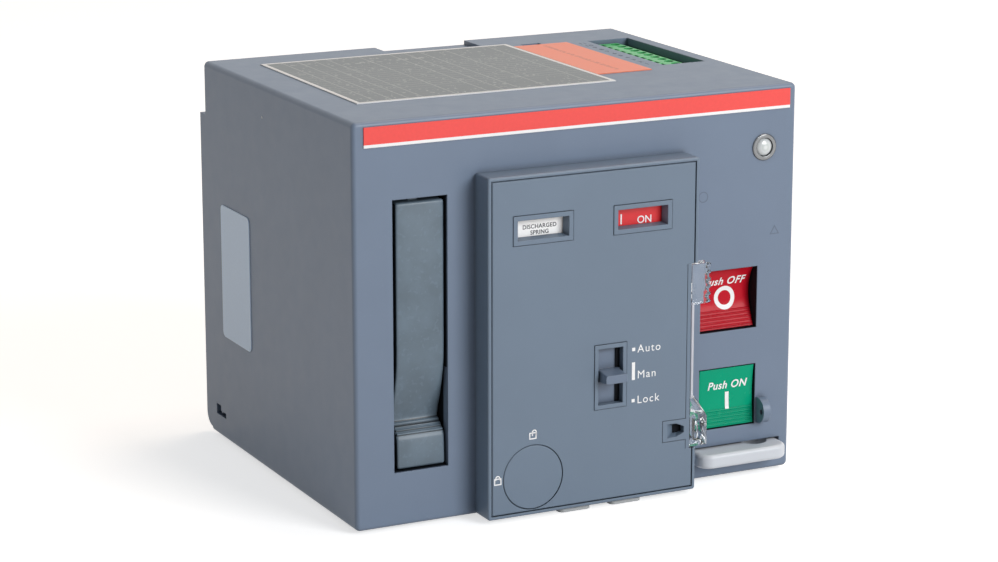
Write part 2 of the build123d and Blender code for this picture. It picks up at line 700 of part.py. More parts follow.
# ---------------------------------------------------------------- selector knob
sheet_front_y = plate_back_y + slide_gap
sheet_back_y = sheet_front_y + shutter_thickness
slider_half_width = selector_window_width / 2 + 0.4
slider_half_height = selector_window_height / 2 + selector_travel + 0.8
selector_stem_half = 1.8
selector_stem_end_y = behind(12.0)
knob_foot_y = panel_front_y + 1.0
with BuildPart() as selector_knob:
    cover_half = selector_window_width / 2 - slide_gap
    block((selector_x - cover_half, selector_x + cover_half), (knob_foot_y, sheet_front_y),
          (selector_z - selector_stem_half, selector_z + selector_stem_half))
    with BuildSketch(facing_front(knob_foot_y)):
        with Locations((selector_x, selector_z)):
            RectangleRounded(selector_handle_width, 3.6, 0.5)
    with BuildSketch(facing_front(panel_front_y - selector_handle_rise)):
        with Locations((selector_x, selector_z)):
            RectangleRounded(selector_handle_width, 2.4, 0.5)
    loft()
    block((selector_x - selector_stem_half, selector_x + selector_stem_half),
          (sheet_front_y, selector_stem_end_y),
          (selector_z - selector_stem_half, selector_z + selector_stem_half))
    # slider plate that closes the window in every position
    block((selector_x - slider_half_width, selector_x + slider_half_width), (sheet_front_y, sheet_back_y),
          (selector_z - slider_half_height, selector_z + slider_half_height))
selector_knob.part.label = "selector_knob"
export_step(selector_knob.part, "parts/selector_knob.step")

# ---------------------------------------------------------------- clear shutter and its guide
guide_left_x = selector_x + slider_half_width + slide_gap
sheet_left_x = guide_left_x + 0.4
grip_left_x = insert_right_x + slide_gap
grip_right_x = grip_left_x + shutter_grip_width
grip_front_y = panel_front_y + 0.3
eye_back_y = front_y - 0.8
eye_plate_thickness = 1.6
eye_plate_top_z = up(lug_high) - 0.7
ridge_radius = 0.6
ridge_count = 6
shutter_rod_width = 0.8
shutter_rod_depth = 1.4

with BuildPart() as clear_shutter:
    block((sheet_left_x, grip_left_x + 1.2), (sheet_front_y, sheet_back_y),
          (up(bay_low) + slide_gap, up(bay_high) - slide_gap))
    block((grip_left_x, grip_right_x), (grip_front_y, sheet_back_y), (up(grip_low), up(grip_high)))
    ridge_pitch = (grip_high - grip_low - 2 * ridge_radius) / (ridge_count - 1)
    for i in range(ridge_count):
        rod_y(grip_front_y, sheet_back_y, grip_right_x, up(grip_low) + ridge_radius + i * ridge_pitch,
              ridge_radius)
    with BuildSketch(facing_front(sheet_back_y)):
        with BuildLine():
            Polyline((grip_left_x, up(eye_low)), (grip_right_x, up(eye_low)),
                     (grip_right_x, eye_plate_top_z), (grip_left_x + eye_plate_thickness, up(eye_high)),
                     (grip_left_x, up(eye_high)), close=True)
        make_face()
    extrude(amount=sheet_back_y - grip_front_y)
    # thin rod between the two ends
    block((grip_left_x, grip_left_x + shutter_rod_width), (eye_back_y - shutter_rod_depth, eye_back_y),
          (up(eye_high) - 1.0, up(grip_low) + 1.0))
    # eye plate that meets the seal lug, a scoop beside it, and the seal hole through both
    block((grip_right_x - eye_plate_thickness, grip_right_x), (grip_front_y, eye_back_y),
          (up(eye_low), eye_plate_top_z))
    block((grip_left_x + eye_plate_thickness, grip_right_x - eye_plate_thickness),
          (grip_front_y - 1, sheet_front_y),
          (up(eye_low) + eye_plate_thickness, eye_plate_top_z - 0.6), Mode.SUBTRACT)
    rod_x(grip_left_x - 1, grip_right_x + 1, seal_hole_y, lug_z, seal_hole_radius, Mode.SUBTRACT)
clear_shutter.part.label = "clear_shutter"
export_step(clear_shutter.part, "parts/clear_shutter.step")

guide_plate_front_y = sheet_back_y + slide_gap
guide_plate_back_y = guide_plate_front_y + 1.0
guide_rail = 1.6
guide_z = (up(bay_low) - guide_rail, up(bay_high) + guide_rail)
selector_rail_x = selector_x - slider_half_width - slide_gap
with BuildPart() as shutter_guide:
    block((selector_rail_x - guide_rail, panel_side - panel_wall),
          (guide_plate_front_y, guide_plate_back_y), guide_z)
    block((panel_side - panel_wall - 1, panel_side - 0.3), (guide_plate_front_y, guide_plate_back_y),
          (up(bay_low) + fit_gap, up(bay_high) - fit_gap))
    for rail_z in ((guide_z[0], up(bay_low)), (up(bay_high), guide_z[1])):
        block((guide_left_x, panel_side - panel_wall), (plate_back_y, guide_plate_front_y), rail_z)
    # rail left of the selector's slider, and a slot for its stem
    block((selector_rail_x - guide_rail, selector_rail_x), (plate_back_y, guide_plate_front_y), guide_z)
    stem_room = selector_stem_half + slide_gap
    block((selector_x - stem_room, selector_x + stem_room),
          (guide_plate_front_y - 1, guide_plate_back_y + 1),
          (selector_z - selector_travel - stem_room, selector_z + selector_travel + stem_room),
          Mode.SUBTRACT)
shutter_guide.part.label = "shutter_guide"
export_step(shutter_guide.part, "parts/shutter_guide.step")

# ---------------------------------------------------------------- charging lever
lever_half = lever_width / 2
lever_top = slot_high - lever_end_gap
lever_front_y = behind(lever_setback)
lever_back_y = behind(lever_setback + lever_thickness)
grip_dip = (behind(5.6), up(slot_low + 13.4))
grip_edge = (behind(1.6), up(slot_low + 9.8))
grip_hump = (behind(1.1), up(slot_low + 5.4))
grip_end = (behind(2.2), up(slot_low + 1.8))
grip_tip = (behind(5.4), up(slot_low + lever_end_gap))
grip_ribs = 4
grip_rib_radius = 0.45
heel_radius = 4.4
crank_x = lever_x - 2.0
with BuildPart() as charging_lever:
    with BuildSketch(Plane.YZ.offset(lever_x - lever_half)):
        with BuildLine():
            Line((lever_front_y, up(lever_top)), (lever_front_y, grip_dip[1] + 20.4))
            Spline((lever_front_y, grip_dip[1] + 20.4), (behind(2.6), grip_dip[1] + 9.8), grip_dip,
                   tangents=((0, -1), (0.1, -1)))
            Line(grip_dip, grip_edge)
            ThreePointArc(grip_edge, grip_hump, grip_end)
            ThreePointArc(grip_end, (behind(3.6), grip_tip[1] + 0.1), grip_tip)
            Polyline(grip_tip, (lever_back_y - 2.0, grip_tip[1] + 1.2), (lever_back_y, grip_tip[1] + 19.8),
                     (lever_back_y, up(lever_top) - 1.5), (lever_back_y - 2.0, up(lever_top)),
                     (lever_front_y, up(lever_top)))
        make_face()
    extrude(amount=lever_width)
    fillet(charging_lever.edges().filter_by(Axis.X).group_by(Axis.Y)[-1].sort_by(Axis.Z)[-1], 0.5)
    # ribs on the slope of the grip
    for i in range(grip_ribs):
        share = (i + 1.1) / (grip_ribs + 1)
        rod_x(lever_x - lever_half + 0.4, lever_x + lever_half - 0.4,
              grip_dip[0] + share * (grip_edge[0] - grip_dip[0]),
              grip_dip[1] + share * (grip_edge[1] - grip_dip[1]), grip_rib_radius)
    # heel that drives the link
    bar(crank_x, crank_x + crank_thickness, pivot, heel_pin, heel_radius)
    rod_x(lever_x - lever_half - 1, lever_x + lever_half + 1, pivot[0], pivot[1],
          lever_pin_radius + running_gap, Mode.SUBTRACT)
    rod_x(crank_x - 1, crank_x + crank_thickness + 1, heel_pin[0], heel_pin[1],
          link_pin_radius + running_gap, Mode.SUBTRACT)
charging_lever.part.label = "charging_lever"
export_step(charging_lever.part, "parts/charging_lever.step")

bracket_steel = 1.5
ear_gap = slot_width / 2 + 0.1
ear_outer = ear_gap + bracket_steel
bracket_back_y = behind(22.0)
bracket_low_z = up(slot_low - 2.6)
bracket_high_z = up(slot_high + 4.8)
with BuildPart() as lever_bracket:
    for side in (-1, 1):
        ear = sorted((lever_x + side * ear_gap, lever_x + side * ear_outer))
        flange = sorted((lever_x + side * ear_gap, lever_x + side * (ear_outer + 4.0)))
        block(ear, (inner_front_y, bracket_back_y), (bracket_low_z, bracket_high_z))
        block(flange, (inner_front_y, inner_front_y + bracket_steel), (bracket_low_z, bracket_high_z))
    block((lever_x - ear_outer, lever_x + ear_outer), (bracket_back_y, bracket_back_y + bracket_steel),
          (bracket_low_z, bracket_low_z + 53.0))
    rod_x(lever_x - ear_outer - 1, lever_x + ear_outer + 1, pivot[0], pivot[1], lever_pin_radius,
          Mode.SUBTRACT)
lever_bracket.part.label = "lever_bracket"
export_step(lever_bracket.part, "parts/lever_bracket.step")

with BuildPart() as lever_pin:
    rod_x(lever_x - ear_outer - 0.6, lever_x + ear_outer + 0.6, pivot[0], pivot[1], lever_pin_radius)
    chamfer(lever_pin.edges(), 0.3)
lever_pin.part.label = "lever_pin"
export_step(lever_pin.part, "parts/lever_pin.step")

# ---------------------------------------------------------------- charging link and clutch carrier
link_x = crank_x + crank_thickness + slide_gap
with BuildPart() as charging_link:
    bar(link_x, link_x + link_thickness, heel_pin, carrier_pin, link_half_width)
    for y, z in (heel_pin, carrier_pin):
        rod_x(crank_x - slide_gap, link_x, y, z, link_pin_radius)
charging_link.part.label = "charging_link"
export_step(charging_link.part, "parts/charging_link.step")

clutch_radius = 7.0
clutch_left_x = crank_x - 4.0
with BuildPart() as clutch_carrier:
    bar(crank_x, crank_x + crank_thickness, main_axis, carrier_pin, heel_radius)
    rod_x(clutch_left_x, crank_x + crank_thickness, main_axis[0], main_axis[1], clutch_radius + 2.5)
    rod_x(clutch_left_x - 1, crank_x + crank_thickness + 1, main_axis[0], main_axis[1], clutch_radius,
          Mode.SUBTRACT)
    rod_x(crank_x - 1.0, crank_x + crank_thickness + 1, carrier_pin[0], carrier_pin[1],
          link_pin_radius + running_gap, Mode.SUBTRACT)
clutch_carrier.part.label = "clutch_carrier"
export_step(clutch_carrier.part, "parts/clutch_carrier.step")

with BuildPart() as drive_clutch:
    rod_x(clutch_left_x, crank_x + crank_thickness, main_axis[0], main_axis[1], clutch_radius)
    rod_x(clutch_left_x - 1, crank_x + crank_thickness + 1, main_axis[0], main_axis[1],
          main_shaft_radius + running_gap, Mode.SUBTRACT)
drive_clutch.part.label = "drive_clutch"
export_step(drive_clutch.part, "parts/drive_clutch.step")

# ---------------------------------------------------------------- side plates and tie rods
plate_corners = [(behind(side_plate_front), up(side_plate_low)), (base_front_y, up(side_plate_low)),
                 (base_front_y, up(side_plate_high)), (behind(side_plate_front), up(side_plate_high))]
foot_width = 11.0
tie_rod_radius = 2.0
pillar_end_radius = 1.5
spacer_step = 0.5            # radial, from an end to the part that spaces the plates


def side_plate(x, foot_side):
    """A steel side plate with a foot along the rear base and holes for shafts and tie rods."""
    with BuildSketch(Plane.YZ.offset(x)) as outline:
        Polygon(*plate_corners, align=None)
    extrude(outline.sketch, amount=side_plate_thickness)
    foot = sorted((x + side_plate_thickness / 2, x + side_plate_thickness / 2 + foot_side * foot_width))
    block(foot, (base_front_y - side_plate_thickness, base_front_y),
          (up(side_plate_low), up(side_plate_high)))
    for y, z in tie_places:
        rod_x(x - 1, x + side_plate_thickness + 1, y, z, tie_rod_radius, Mode.SUBTRACT)


bush_radius = main_shaft_radius + 2.0
with BuildPart() as left_side_plate:
    side_plate(left_plate_x, -1)
    left_holes = [(main_axis, bush_radius), (idler_axis, idler_pin_radius),
                  (motor_axis, motor_shaft_radius + 2.0)]
    left_holes += [(place, pillar_end_radius) for place in pillar_places]
    for place, radius in left_holes:
        rod_x(left_plate_x - 1, left_plate_inner_x + 1, place[0], place[1], radius, Mode.SUBTRACT)
left_side_plate.part.label = "left_side_plate"
export_step(left_side_plate.part, "parts/left_side_plate.step")

with BuildPart() as right_side_plate:
    side_plate(right_plate_x, 1)
    rod_x(right_plate_x - 1, right_plate_outer_x + 1, main_axis[0], main_axis[1], bush_radius,
          Mode.SUBTRACT)
right_side_plate.part.label = "right_side_plate"
export_step(right_side_plate.part, "parts/right_side_plate.step")

with BuildPart() as tie_rods:
    for y, z in tie_places:
        rod_x(left_plate_x - 2.5, right_plate_outer_x + 2.5, y, z, tie_rod_radius)
        rod_x(left_plate_inner_x, right_plate_x, y, z, tie_rod_radius + spacer_step)
tie_rods.part.label = "tie_rods"
export_step(tie_rods.part, "parts/tie_rods.step")

bush_collar = 1.5
with BuildPart() as shaft_bushes:
    for low_x, high_x, collar_x in ((left_plate_x, left_plate_inner_x, left_plate_x - bush_collar),
                                    (right_plate_x, right_plate_outer_x, right_plate_outer_x)):
        rod_x(low_x, high_x, main_axis[0], main_axis[1], bush_radius)
        rod_x(collar_x, collar_x + bush_collar, main_axis[0], main_axis[1], bush_radius + 0.8)
    rod_x(left_plate_x - 3, right_plate_outer_x + 3, main_axis[0], main_axis[1],
          main_shaft_radius + running_gap, Mode.SUBTRACT)
shaft_bushes.part.label = "shaft_bushes"
export_step(shaft_bushes.part, "parts/shaft_bushes.step")

# ---------------------------------------------------------------- gearbox plate and pillars
motor_boss_radius = 4.0
with BuildPart() as gearbox_plate:
    with BuildSketch(Plane.YZ.offset(gearbox_plate_x)):
        with BuildLine():
            Polyline((behind(27.0), up(62.0)), (behind(27.0), up(side_plate_high - 11.0)),
                     (behind(66.0), up(side_plate_high - 9.0)), (behind(84.0), up(side_plate_high - 21.0)),
                     (behind(94.0), up(57.0)), (behind(94.0), up(47.0)),
                     (behind(70.0), up(29.0)), (behind(45.0), up(29.0)), close=True)
        make_face()
    extrude(amount=side_plate_thickness)
    gearbox_holes = [(main_axis, main_shaft_radius + 1.5), (idler_axis, idler_pin_radius),
                     (motor_axis, motor_boss_radius)]
    gearbox_holes += [(place, pillar_end_radius) for place in pillar_places]
    for place, radius in gearbox_holes:
        rod_x(gearbox_plate_x - 1, gearbox_right_x + 1, place[0], place[1], radius, Mode.SUBTRACT)
gearbox_plate.part.label = "gearbox_plate"
export_step(gearbox_plate.part, "parts/gearbox_plate.step")

with BuildPart() as gearbox_pillars:
    for y, z in pillar_places:
        rod_x(left_plate_x - 0.5, gearbox_right_x + 0.5, y, z, pillar_end_radius)
        rod_x(left_plate_inner_x, gearbox_plate_x, y, z, pillar_end_radius + 2 * spacer_step)
gearbox_pillars.part.label = "gearbox_pillars"
export_step(gearbox_pillars.part, "parts/gearbox_pillars.step")

# ---------------------------------------------------------------- main shaft, gear and cam
with BuildPart() as main_shaft:
    rod_x(clutch_left_x - 2.0, right_plate_outer_x + 3.0, main_axis[0], main_axis[1], main_shaft_radius)
    rod_x(link_x, left_plate_x - bush_collar - slide_gap, main_axis[0], main_axis[1],
          main_shaft_radius + 1.5)
    chamfer(main_shaft.faces().sort_by(Axis.X)[0].edges(), 0.5)
main_shaft.part.label = "main_shaft"
export_step(main_shaft.part, "parts/main_shaft.step")

with BuildPart() as main_gear:
    gear(main_gear_x, main_axis[0], main_axis[1], main_teeth, idler_direction, gear_face)
    gear_holes = [polar(main_axis, 0.58 * gear_module * main_teeth / 2, 60.0 * i) for i in range(6)]
    for place, radius in [(main_axis, main_shaft_radius)] + [(hole, 4.0) for hole in gear_holes]:
        rod_x(main_gear_x - 1, main_gear_x + gear_face + 1, place[0], place[1], radius, Mode.SUBTRACT)
main_gear.part.label = "main_gear"
export_step(main_gear.part, "parts/main_gear.step")

cam_x = 8.0
cam_width = 8.0
cam_hub = 3.0                # the hub's wall, and how far it stands out on both sides
cam_radius = 16.0
cam_offset = 5.5
with BuildPart() as charging_cam:
    rod_x(cam_x, cam_x + cam_width, main_axis[0] - cam_offset, main_axis[1], cam_radius)
    rod_x(cam_x - cam_hub, cam_x + cam_width + cam_hub, main_axis[0], main_axis[1],
          main_shaft_radius + cam_hub)
    rod_x(cam_x - cam_hub - 1, cam_x + cam_width + cam_hub + 1, main_axis[0], main_axis[1],
          main_shaft_radius, Mode.SUBTRACT)
charging_cam.part.label = "charging_cam"
export_step(charging_cam.part, "parts/charging_cam.step")

# ---------------------------------------------------------------- idler and motor
idler_turn = idler_direction + 180.0 + 180.0 / idler_pinion_teeth
with BuildPart() as idler_gear:
    gear(main_gear_x, idler_axis[0], idler_axis[1], idler_pinion_teeth, idler_turn, gear_face)
    gear(idler_gear_x, idler_axis[0], idler_axis[1], idler_teeth, motor_direction, gear_face)
    rod_x(idler_gear_x, main_gear_x, idler_axis[0], idler_axis[1], 4.5)
    rod_x(idler_gear_x - 1, main_gear_x + gear_face + 1, idler_axis[0], idler_axis[1],
          idler_pin_radius + running_gap, Mode.SUBTRACT)
idler_gear.part.label = "idler_gear"
export_step(idler_gear.part, "parts/idler_gear.step")

with BuildPart() as idler_pin:
    rod_x(left_plate_x - 0.5, gearbox_right_x + 0.5, idler_axis[0], idler_axis[1], idler_pin_radius)
idler_pin.part.label = "idler_pin"
export_step(idler_pin.part, "parts/idler_pin.step")

motor_turn = motor_direction + 180.0 + 180.0 / motor_teeth
with BuildPart() as motor_rotor:
    gear(idler_gear_x, motor_axis[0], motor_axis[1], motor_teeth, motor_turn, gear_face)
    rod_x(idler_gear_x, gearbox_right_x + 6.0, motor_axis[0], motor_axis[1], motor_shaft_radius)
motor_rotor.part.label = "motor_rotor"
export_step(motor_rotor.part, "parts/motor_rotor.step")

with BuildPart() as drive_motor:
    rod_x(gearbox_right_x, gearbox_right_x + motor_length, motor_axis[0], motor_axis[1], motor_radius)
    chamfer(drive_motor.faces().sort_by(Axis.X)[-1].edges(), 1.5)
    rod_x(gearbox_plate_x, gearbox_right_x, motor_axis[0], motor_axis[1], motor_boss_radius)
    rod_x(gearbox_right_x + motor_length, gearbox_right_x + motor_length + 3.0, motor_axis[0],
          motor_axis[1], motor_boss_radius + 1.0)
    rod_x(gearbox_plate_x - 1.0, gearbox_right_x + 7.0, motor_axis[0], motor_axis[1],
          motor_shaft_radius + running_gap, Mode.SUBTRACT)
drive_motor.part.label = "drive_motor"
export_step(drive_motor.part, "parts/drive_motor.step")

# ---------------------------------------------------------------- toggle carriage and springs
carriage_low_z = toggle_top_z - carriage_height / 2
with BuildPart() as toggle_carriage:
    block((-carriage_width / 2, carriage_width / 2), (behind(carriage_front), behind(carriage_rear)),
          (carriage_low_z, carriage_low_z + carriage_height))
    chamfer(toggle_carriage.edges().filter_by(Axis.Z), 1.5)
    block((-toggle_pocket_width / 2, toggle_pocket_width / 2),
          (behind(toggle_pocket_front), behind(carriage_rear) + 1),
          (toggle_top_z - toggle_pocket_height / 2, toggle_top_z + toggle_pocket_height / 2), Mode.SUBTRACT)
    for x, y in rod_places:
        rod_z(carriage_low_z - 1, carriage_low_z + carriage_height + 1, x, y, rod_radius + running_gap,
              Mode.SUBTRACT)
toggle_carriage.part.label = "toggle_carriage"
export_step(toggle_carriage.part, "parts/toggle_carriage.step")

with BuildPart() as guide_rods:
    for x, y in rod_places:
        rod_z(up(ledge_low), up(ledge_high) + ledge_thickness, x, y, rod_radius)
guide_rods.part.label = "guide_rods"
export_step(guide_rods.part, "parts/guide_rods.step")


def coil_spring(plane, length, radius, wire, turns):
    """A helical spring that starts on a plane and runs along its normal."""
    path = Helix(pitch=length / turns, height=length, radius=radius, center=plane.origin,
                 direction=plane.z_dir)
    with BuildSketch(Plane(origin=path @ 0, z_dir=path % 0)) as section:
        Circle(wire / 2)
    sweep(section.sketch, path=path, is_frenet=True)


spring_turns = 9
spring_low_z = up(ledge_low) + ledge_thickness + spring_wire / 2 + 0.1
spring_length = carriage_low_z - spring_wire / 2 - 0.1 - spring_low_z
with BuildPart() as closing_springs:
    for x, y in rod_places:
        coil_spring(Plane((x, y, spring_low_z)), spring_length, spring_radius, spring_wire, spring_turns)
closing_springs.part.label = "closing_springs"
export_step(closing_springs.part, "parts/closing_springs.step")

# ---------------------------------------------------------------- push buttons
button_half_width = button_window_width / 2 - button_gap
button_half_height = button_window_height / 2 - button_gap
cap_back_y = behind(9.0)
guide_wall_y = cap_back_y + button_travel + 2.0
guide_wall_thickness = 2.0
guide_side_wall = 1.6
button_stem_end_y = guide_wall_y + guide_wall_thickness + 2 * button_travel + 2.0
button_lip_height = 5.2
button_ribs = 5
button_rib_radius = 0.25
# depths behind the front face: top edge, dish, start of the ribs, lower edge
off_button_depths = (1.7, 4.2, 3.3, 1.3)
on_button_depths = (0.35, 1.0, 0.8, 0.35)


def push_button(z, depths):
    """A dished cap with grip ribs along its lower edge and a square stem."""
    rim_depth, dish_depth, lip_depth, edge_depth = depths
    with BuildSketch(Plane.YZ.offset(button_x - button_half_width)) as profile:
        with BuildLine():
            low_z = z - button_half_height
            high_z = z + button_half_height
            rim = (behind(rim_depth), high_z)
            lip = (behind(lip_depth), low_z + button_lip_height)
            ThreePointArc(rim, (behind(dish_depth), z + 0.5), lip)
            Polyline(lip, (behind(edge_depth), low_z), (cap_back_y, low_z), (cap_back_y, high_z), rim)
        make_face()
    extrude(profile.sketch, amount=2 * button_half_width)
    for i in range(button_ribs):
        share = (i + 0.7) / button_ribs
        rod_x(button_x - button_half_width + 0.4, button_x + button_half_width - 0.4,
              behind(edge_depth + share * (lip_depth - edge_depth)),
              low_z + share * button_lip_height, button_rib_radius)
    half = button_stem_width / 2
    block((button_x - half, button_x + half), (cap_back_y, button_stem_end_y), (z - half, z + half))


with BuildPart() as off_button:
    push_button(button_heights["off"], off_button_depths)
off_button.part.label = "off_button"
export_step(off_button.part, "parts/off_button.step")

with BuildPart() as on_button:
    push_button(button_heights["on"], on_button_depths)
on_button.part.label = "on_button"
export_step(on_button.part, "parts/on_button.step")

with BuildPart() as button_guide:
    half_width = button_window_width / 2
    half_height = button_window_height / 2
    block((button_x - half_width - guide_side_wall, button_x + half_width + guide_side_wall),
          (inner_front_y, guide_wall_y + guide_wall_thickness),
          (button_heights["on"] - half_height - guide_side_wall,
           button_heights["off"] + half_height + guide_side_wall))
    for z in button_heights.values():
        block((button_x - half_width, button_x + half_width), (inner_front_y - 1, guide_wall_y),
              (z - half_height, z + half_height), Mode.SUBTRACT)
        stem = button_stem_width / 2 + slide_gap
        block((button_x - stem, button_x + stem),
              (guide_wall_y - 1, guide_wall_y + guide_wall_thickness + 1),
              (z - stem, z + stem), Mode.SUBTRACT)
    block((button_x - half_width, button_x + half_width), (inner_front_y - 1, guide_wall_y),
          (button_heights["on"] + half_height + guide_side_wall,
           button_heights["off"] - half_height - guide_side_wall), Mode.SUBTRACT)
button_guide.part.label = "button_guide"
export_step(button_guide.part, "parts/button_guide.step")

button_spring_wire = 0.8
button_spring_radius = 5.2
button_spring_turns = 3
button_spring_end = button_spring_wire / 2 + 0.2
button_spring_length = guide_wall_y - cap_back_y - 2 * button_spring_end
with BuildPart() as button_springs:
    for z in button_heights.values():
        coil_spring(Plane(origin=(button_x, cap_back_y + button_spring_end, z), z_dir=(0, 1, 0)),
                    button_spring_length, button_spring_radius, button_spring_wire, button_spring_turns)
button_springs.part.label = "button_springs"
export_step(button_springs.part, "parts/button_springs.step")

# ---------------------------------------------------------------- release coils
coil_radius = 7.5
coil_front_y = behind(34.0)
coil_length = 24.0
core_radius = 2.5
core_travel = 3.0
yoke_steel = 1.5
core_collar_y = coil_front_y + coil_length + yoke_steel + core_travel + 0.5


def release_coil(z):
    """A winding in a U-shaped yoke that hangs on the right side plate."""
    rod_y(coil_front_y, coil_front_y + coil_length, button_x, z, coil_radius)
    for low_y in (coil_front_y - yoke_steel, coil_front_y + coil_length):
        block((right_plate_outer_x, button_x + coil_radius), (low_y, low_y + yoke_steel),
              (z - coil_radius, z + coil_radius))
    block((right_plate_outer_x, right_plate_outer_x + yoke_steel),
          (coil_front_y, coil_front_y + coil_length), (z - coil_radius, z + coil_radius))
    rod_y(coil_front_y - yoke_steel - 1, coil_front_y + coil_length + yoke_steel + 1, button_x, z,
          core_radius + running_gap, Mode.SUBTRACT)


def coil_core(z):
    """The coil's plunger, with a collar that keeps it from falling through."""
    rod_y(coil_front_y - yoke_steel - 2.5, core_collar_y + 1.5, button_x, z, core_radius)
    rod_y(core_collar_y, core_collar_y + 1.5, button_x, z, core_radius + 2.0)


with BuildPart() as closing_coil:
    release_coil(button_heights["on"])
closing_coil.part.label = "closing_coil"
export_step(closing_coil.part, "parts/closing_coil.step")

with BuildPart() as opening_coil:
    release_coil(button_heights["off"])
opening_coil.part.label = "opening_coil"
export_step(opening_coil.part, "parts/opening_coil.step")

with BuildPart() as closing_core:
    coil_core(button_heights["on"])
closing_core.part.label = "closing_core"
export_step(closing_core.part, "parts/closing_core.step")

with BuildPart() as opening_core:
    coil_core(button_heights["off"])
opening_core.part.label = "opening_core"
export_step(opening_core.part, "parts/opening_core.step")

switch_width = 6.5
switch_length = 20.0
switch_height = 10.0
switch_front_y = behind(72.0)
switch_button_height = 1.2
with BuildPart() as limit_switches:
    for low_z in (board_z - 30.0, board_z - 16.0):
        block((right_plate_outer_x, right_plate_outer_x + switch_width),
              (switch_front_y, switch_front_y + switch_length), (low_z, low_z + switch_height))
        block((right_plate_outer_x + 2.0, right_plate_outer_x + switch_width - 2.0),
              (switch_front_y + 4.0, switch_front_y + 6.0),
              (low_z + switch_height, low_z + switch_height + switch_button_height))
limit_switches.part.label = "limit_switches"
export_step(limit_switches.part, "parts/limit_switches.step")

# ---------------------------------------------------------------- padlock slide
slide_front_y = front_y - padlock_rise
slide_back_y = behind(28.0)
padlock_edge_radius = 1.2
with BuildPart() as padlock_slide:
    block((padlock_x - padlock_plate_width / 2, padlock_x + padlock_plate_width / 2),
          (slide_front_y, slide_back_y),
          (padlock_z - padlock_plate_thickness / 2, padlock_z + padlock_plate_thickness / 2))
    fillet(padlock_slide.edges().filter_by(Axis.Z).group_by(Axis.Y)[0], padlock_corner_radius)
    fillet(padlock_slide.faces().sort_by(Axis.Y)[0].edges().filter_by(Axis.X), padlock_edge_radius)
    rod_z(padlock_z - padlock_plate_thickness, padlock_z + padlock_plate_thickness,
          padlock_x + padlock_hole_offset, slide_front_y + padlock_rim + padlock_hole_radius,
          padlock_hole_radius, Mode.SUBTRACT)
padlock_slide.part.label = "padlock_slide"
export_step(padlock_slide.part, "parts/padlock_slide.step")

slide_guide_wall = 1.4
slide_pocket_end_y = slide_back_y + padlock_in + 3.0
with BuildPart() as slide_guide:
    inside = padlock_slot_height / 2
    block((padlock_x - padlock_slot_width / 2 - slide_guide_wall, inner_right_x),
          (inner_front_y, slide_pocket_end_y + slide_guide_wall),
          (inner_base_z, padlock_z + inside + slide_guide_wall))
    block((padlock_x - padlock_slot_width / 2, padlock_x + padlock_slot_width / 2),
          (inner_front_y - 1, slide_pocket_end_y), (padlock_z - inside, padlock_z + inside), Mode.SUBTRACT)
slide_guide.part.label = "slide_guide"
export_step(slide_guide.part, "parts/slide_guide.step")

# ---------------------------------------------------------------- signal lamp
lamp_wall = 0.5
lens_seat_y = behind(6.0)
lens_radius = lamp_radius - lamp_wall - 0.05
with BuildPart() as lamp_ring:
    rod_y(front_y - 0.5, front_y, lamp_x, lamp_z, lamp_ring_radius)
    chamfer(lamp_ring.faces().sort_by(Axis.Y)[0].edges(), 0.25)
    rod_y(front_y, lens_seat_y + 2.0, lamp_x, lamp_z, lamp_radius)
    rod_y(front_y - 1, lens_seat_y, lamp_x, lamp_z, lamp_radius - lamp_wall, Mode.SUBTRACT)
lamp_ring.part.label = "lamp_ring"
export_step(lamp_ring.part, "parts/lamp_ring.step")

with BuildPart() as lamp_lens:
    with BuildSketch(Plane.YZ.offset(lamp_x)):
        with BuildLine():
            Line((lens_seat_y, lamp_z), (behind(-1.6), lamp_z))
            ThreePointArc((behind(-1.6), lamp_z), (behind(-1.0), lamp_z + 0.7 * lens_radius),
                          (behind(0.3), lamp_z + lens_radius))
            Polyline((behind(0.3), lamp_z + lens_radius), (lens_seat_y, lamp_z + lens_radius),
                     (lens_seat_y, lamp_z))
        make_face()
    revolve(axis=Axis((lamp_x, 0, lamp_z), (0, 1, 0)))
lamp_lens.part.label = "lamp_lens"
export_step(lamp_lens.part, "parts/lamp_lens.step")

# ---------------------------------------------------------------- control board and terminals
header_base_height = 5.0
component_x = (board_x[0] + 3.0, board_x[0] + 10.5)
component_lengths = (12.0, 6.0, 18.0)
component_gap = 4.0
with BuildPart() as control_board:
    block(board_x, board_y, (board_z, board_top_z))
    component_y = board_y[0] + 2 * board_post_inset
    for length in component_lengths:
        block(component_x, (component_y, component_y + length),
              (board_top_z, board_top_z + header_base_height))
        component_y += length + component_gap
control_board.part.label = "control_board"
export_step(control_board.part, "parts/control_board.step")

plug_low_z = board_top_z + header_base_height + slide_gap
plug_top_z = top_z - plug_drop
header_left_x = terminal_x - plug_width / 2
header_right_x = terminal_x + plug_width / 2
header_wall_x = header_right_x + 2.6
terminal_span = (terminal_y - terminal_length / 2, terminal_y + terminal_length / 2)
with BuildPart() as terminal_header:
    block((header_left_x, header_wall_x), terminal_span, (board_top_z, board_top_z + header_base_height))
    block((header_right_x + slide_gap, header_wall_x), terminal_span,
          (board_top_z + header_base_height, top_z - 5.0))
terminal_header.part.label = "terminal_header"
export_step(terminal_header.part, "parts/terminal_header.step")

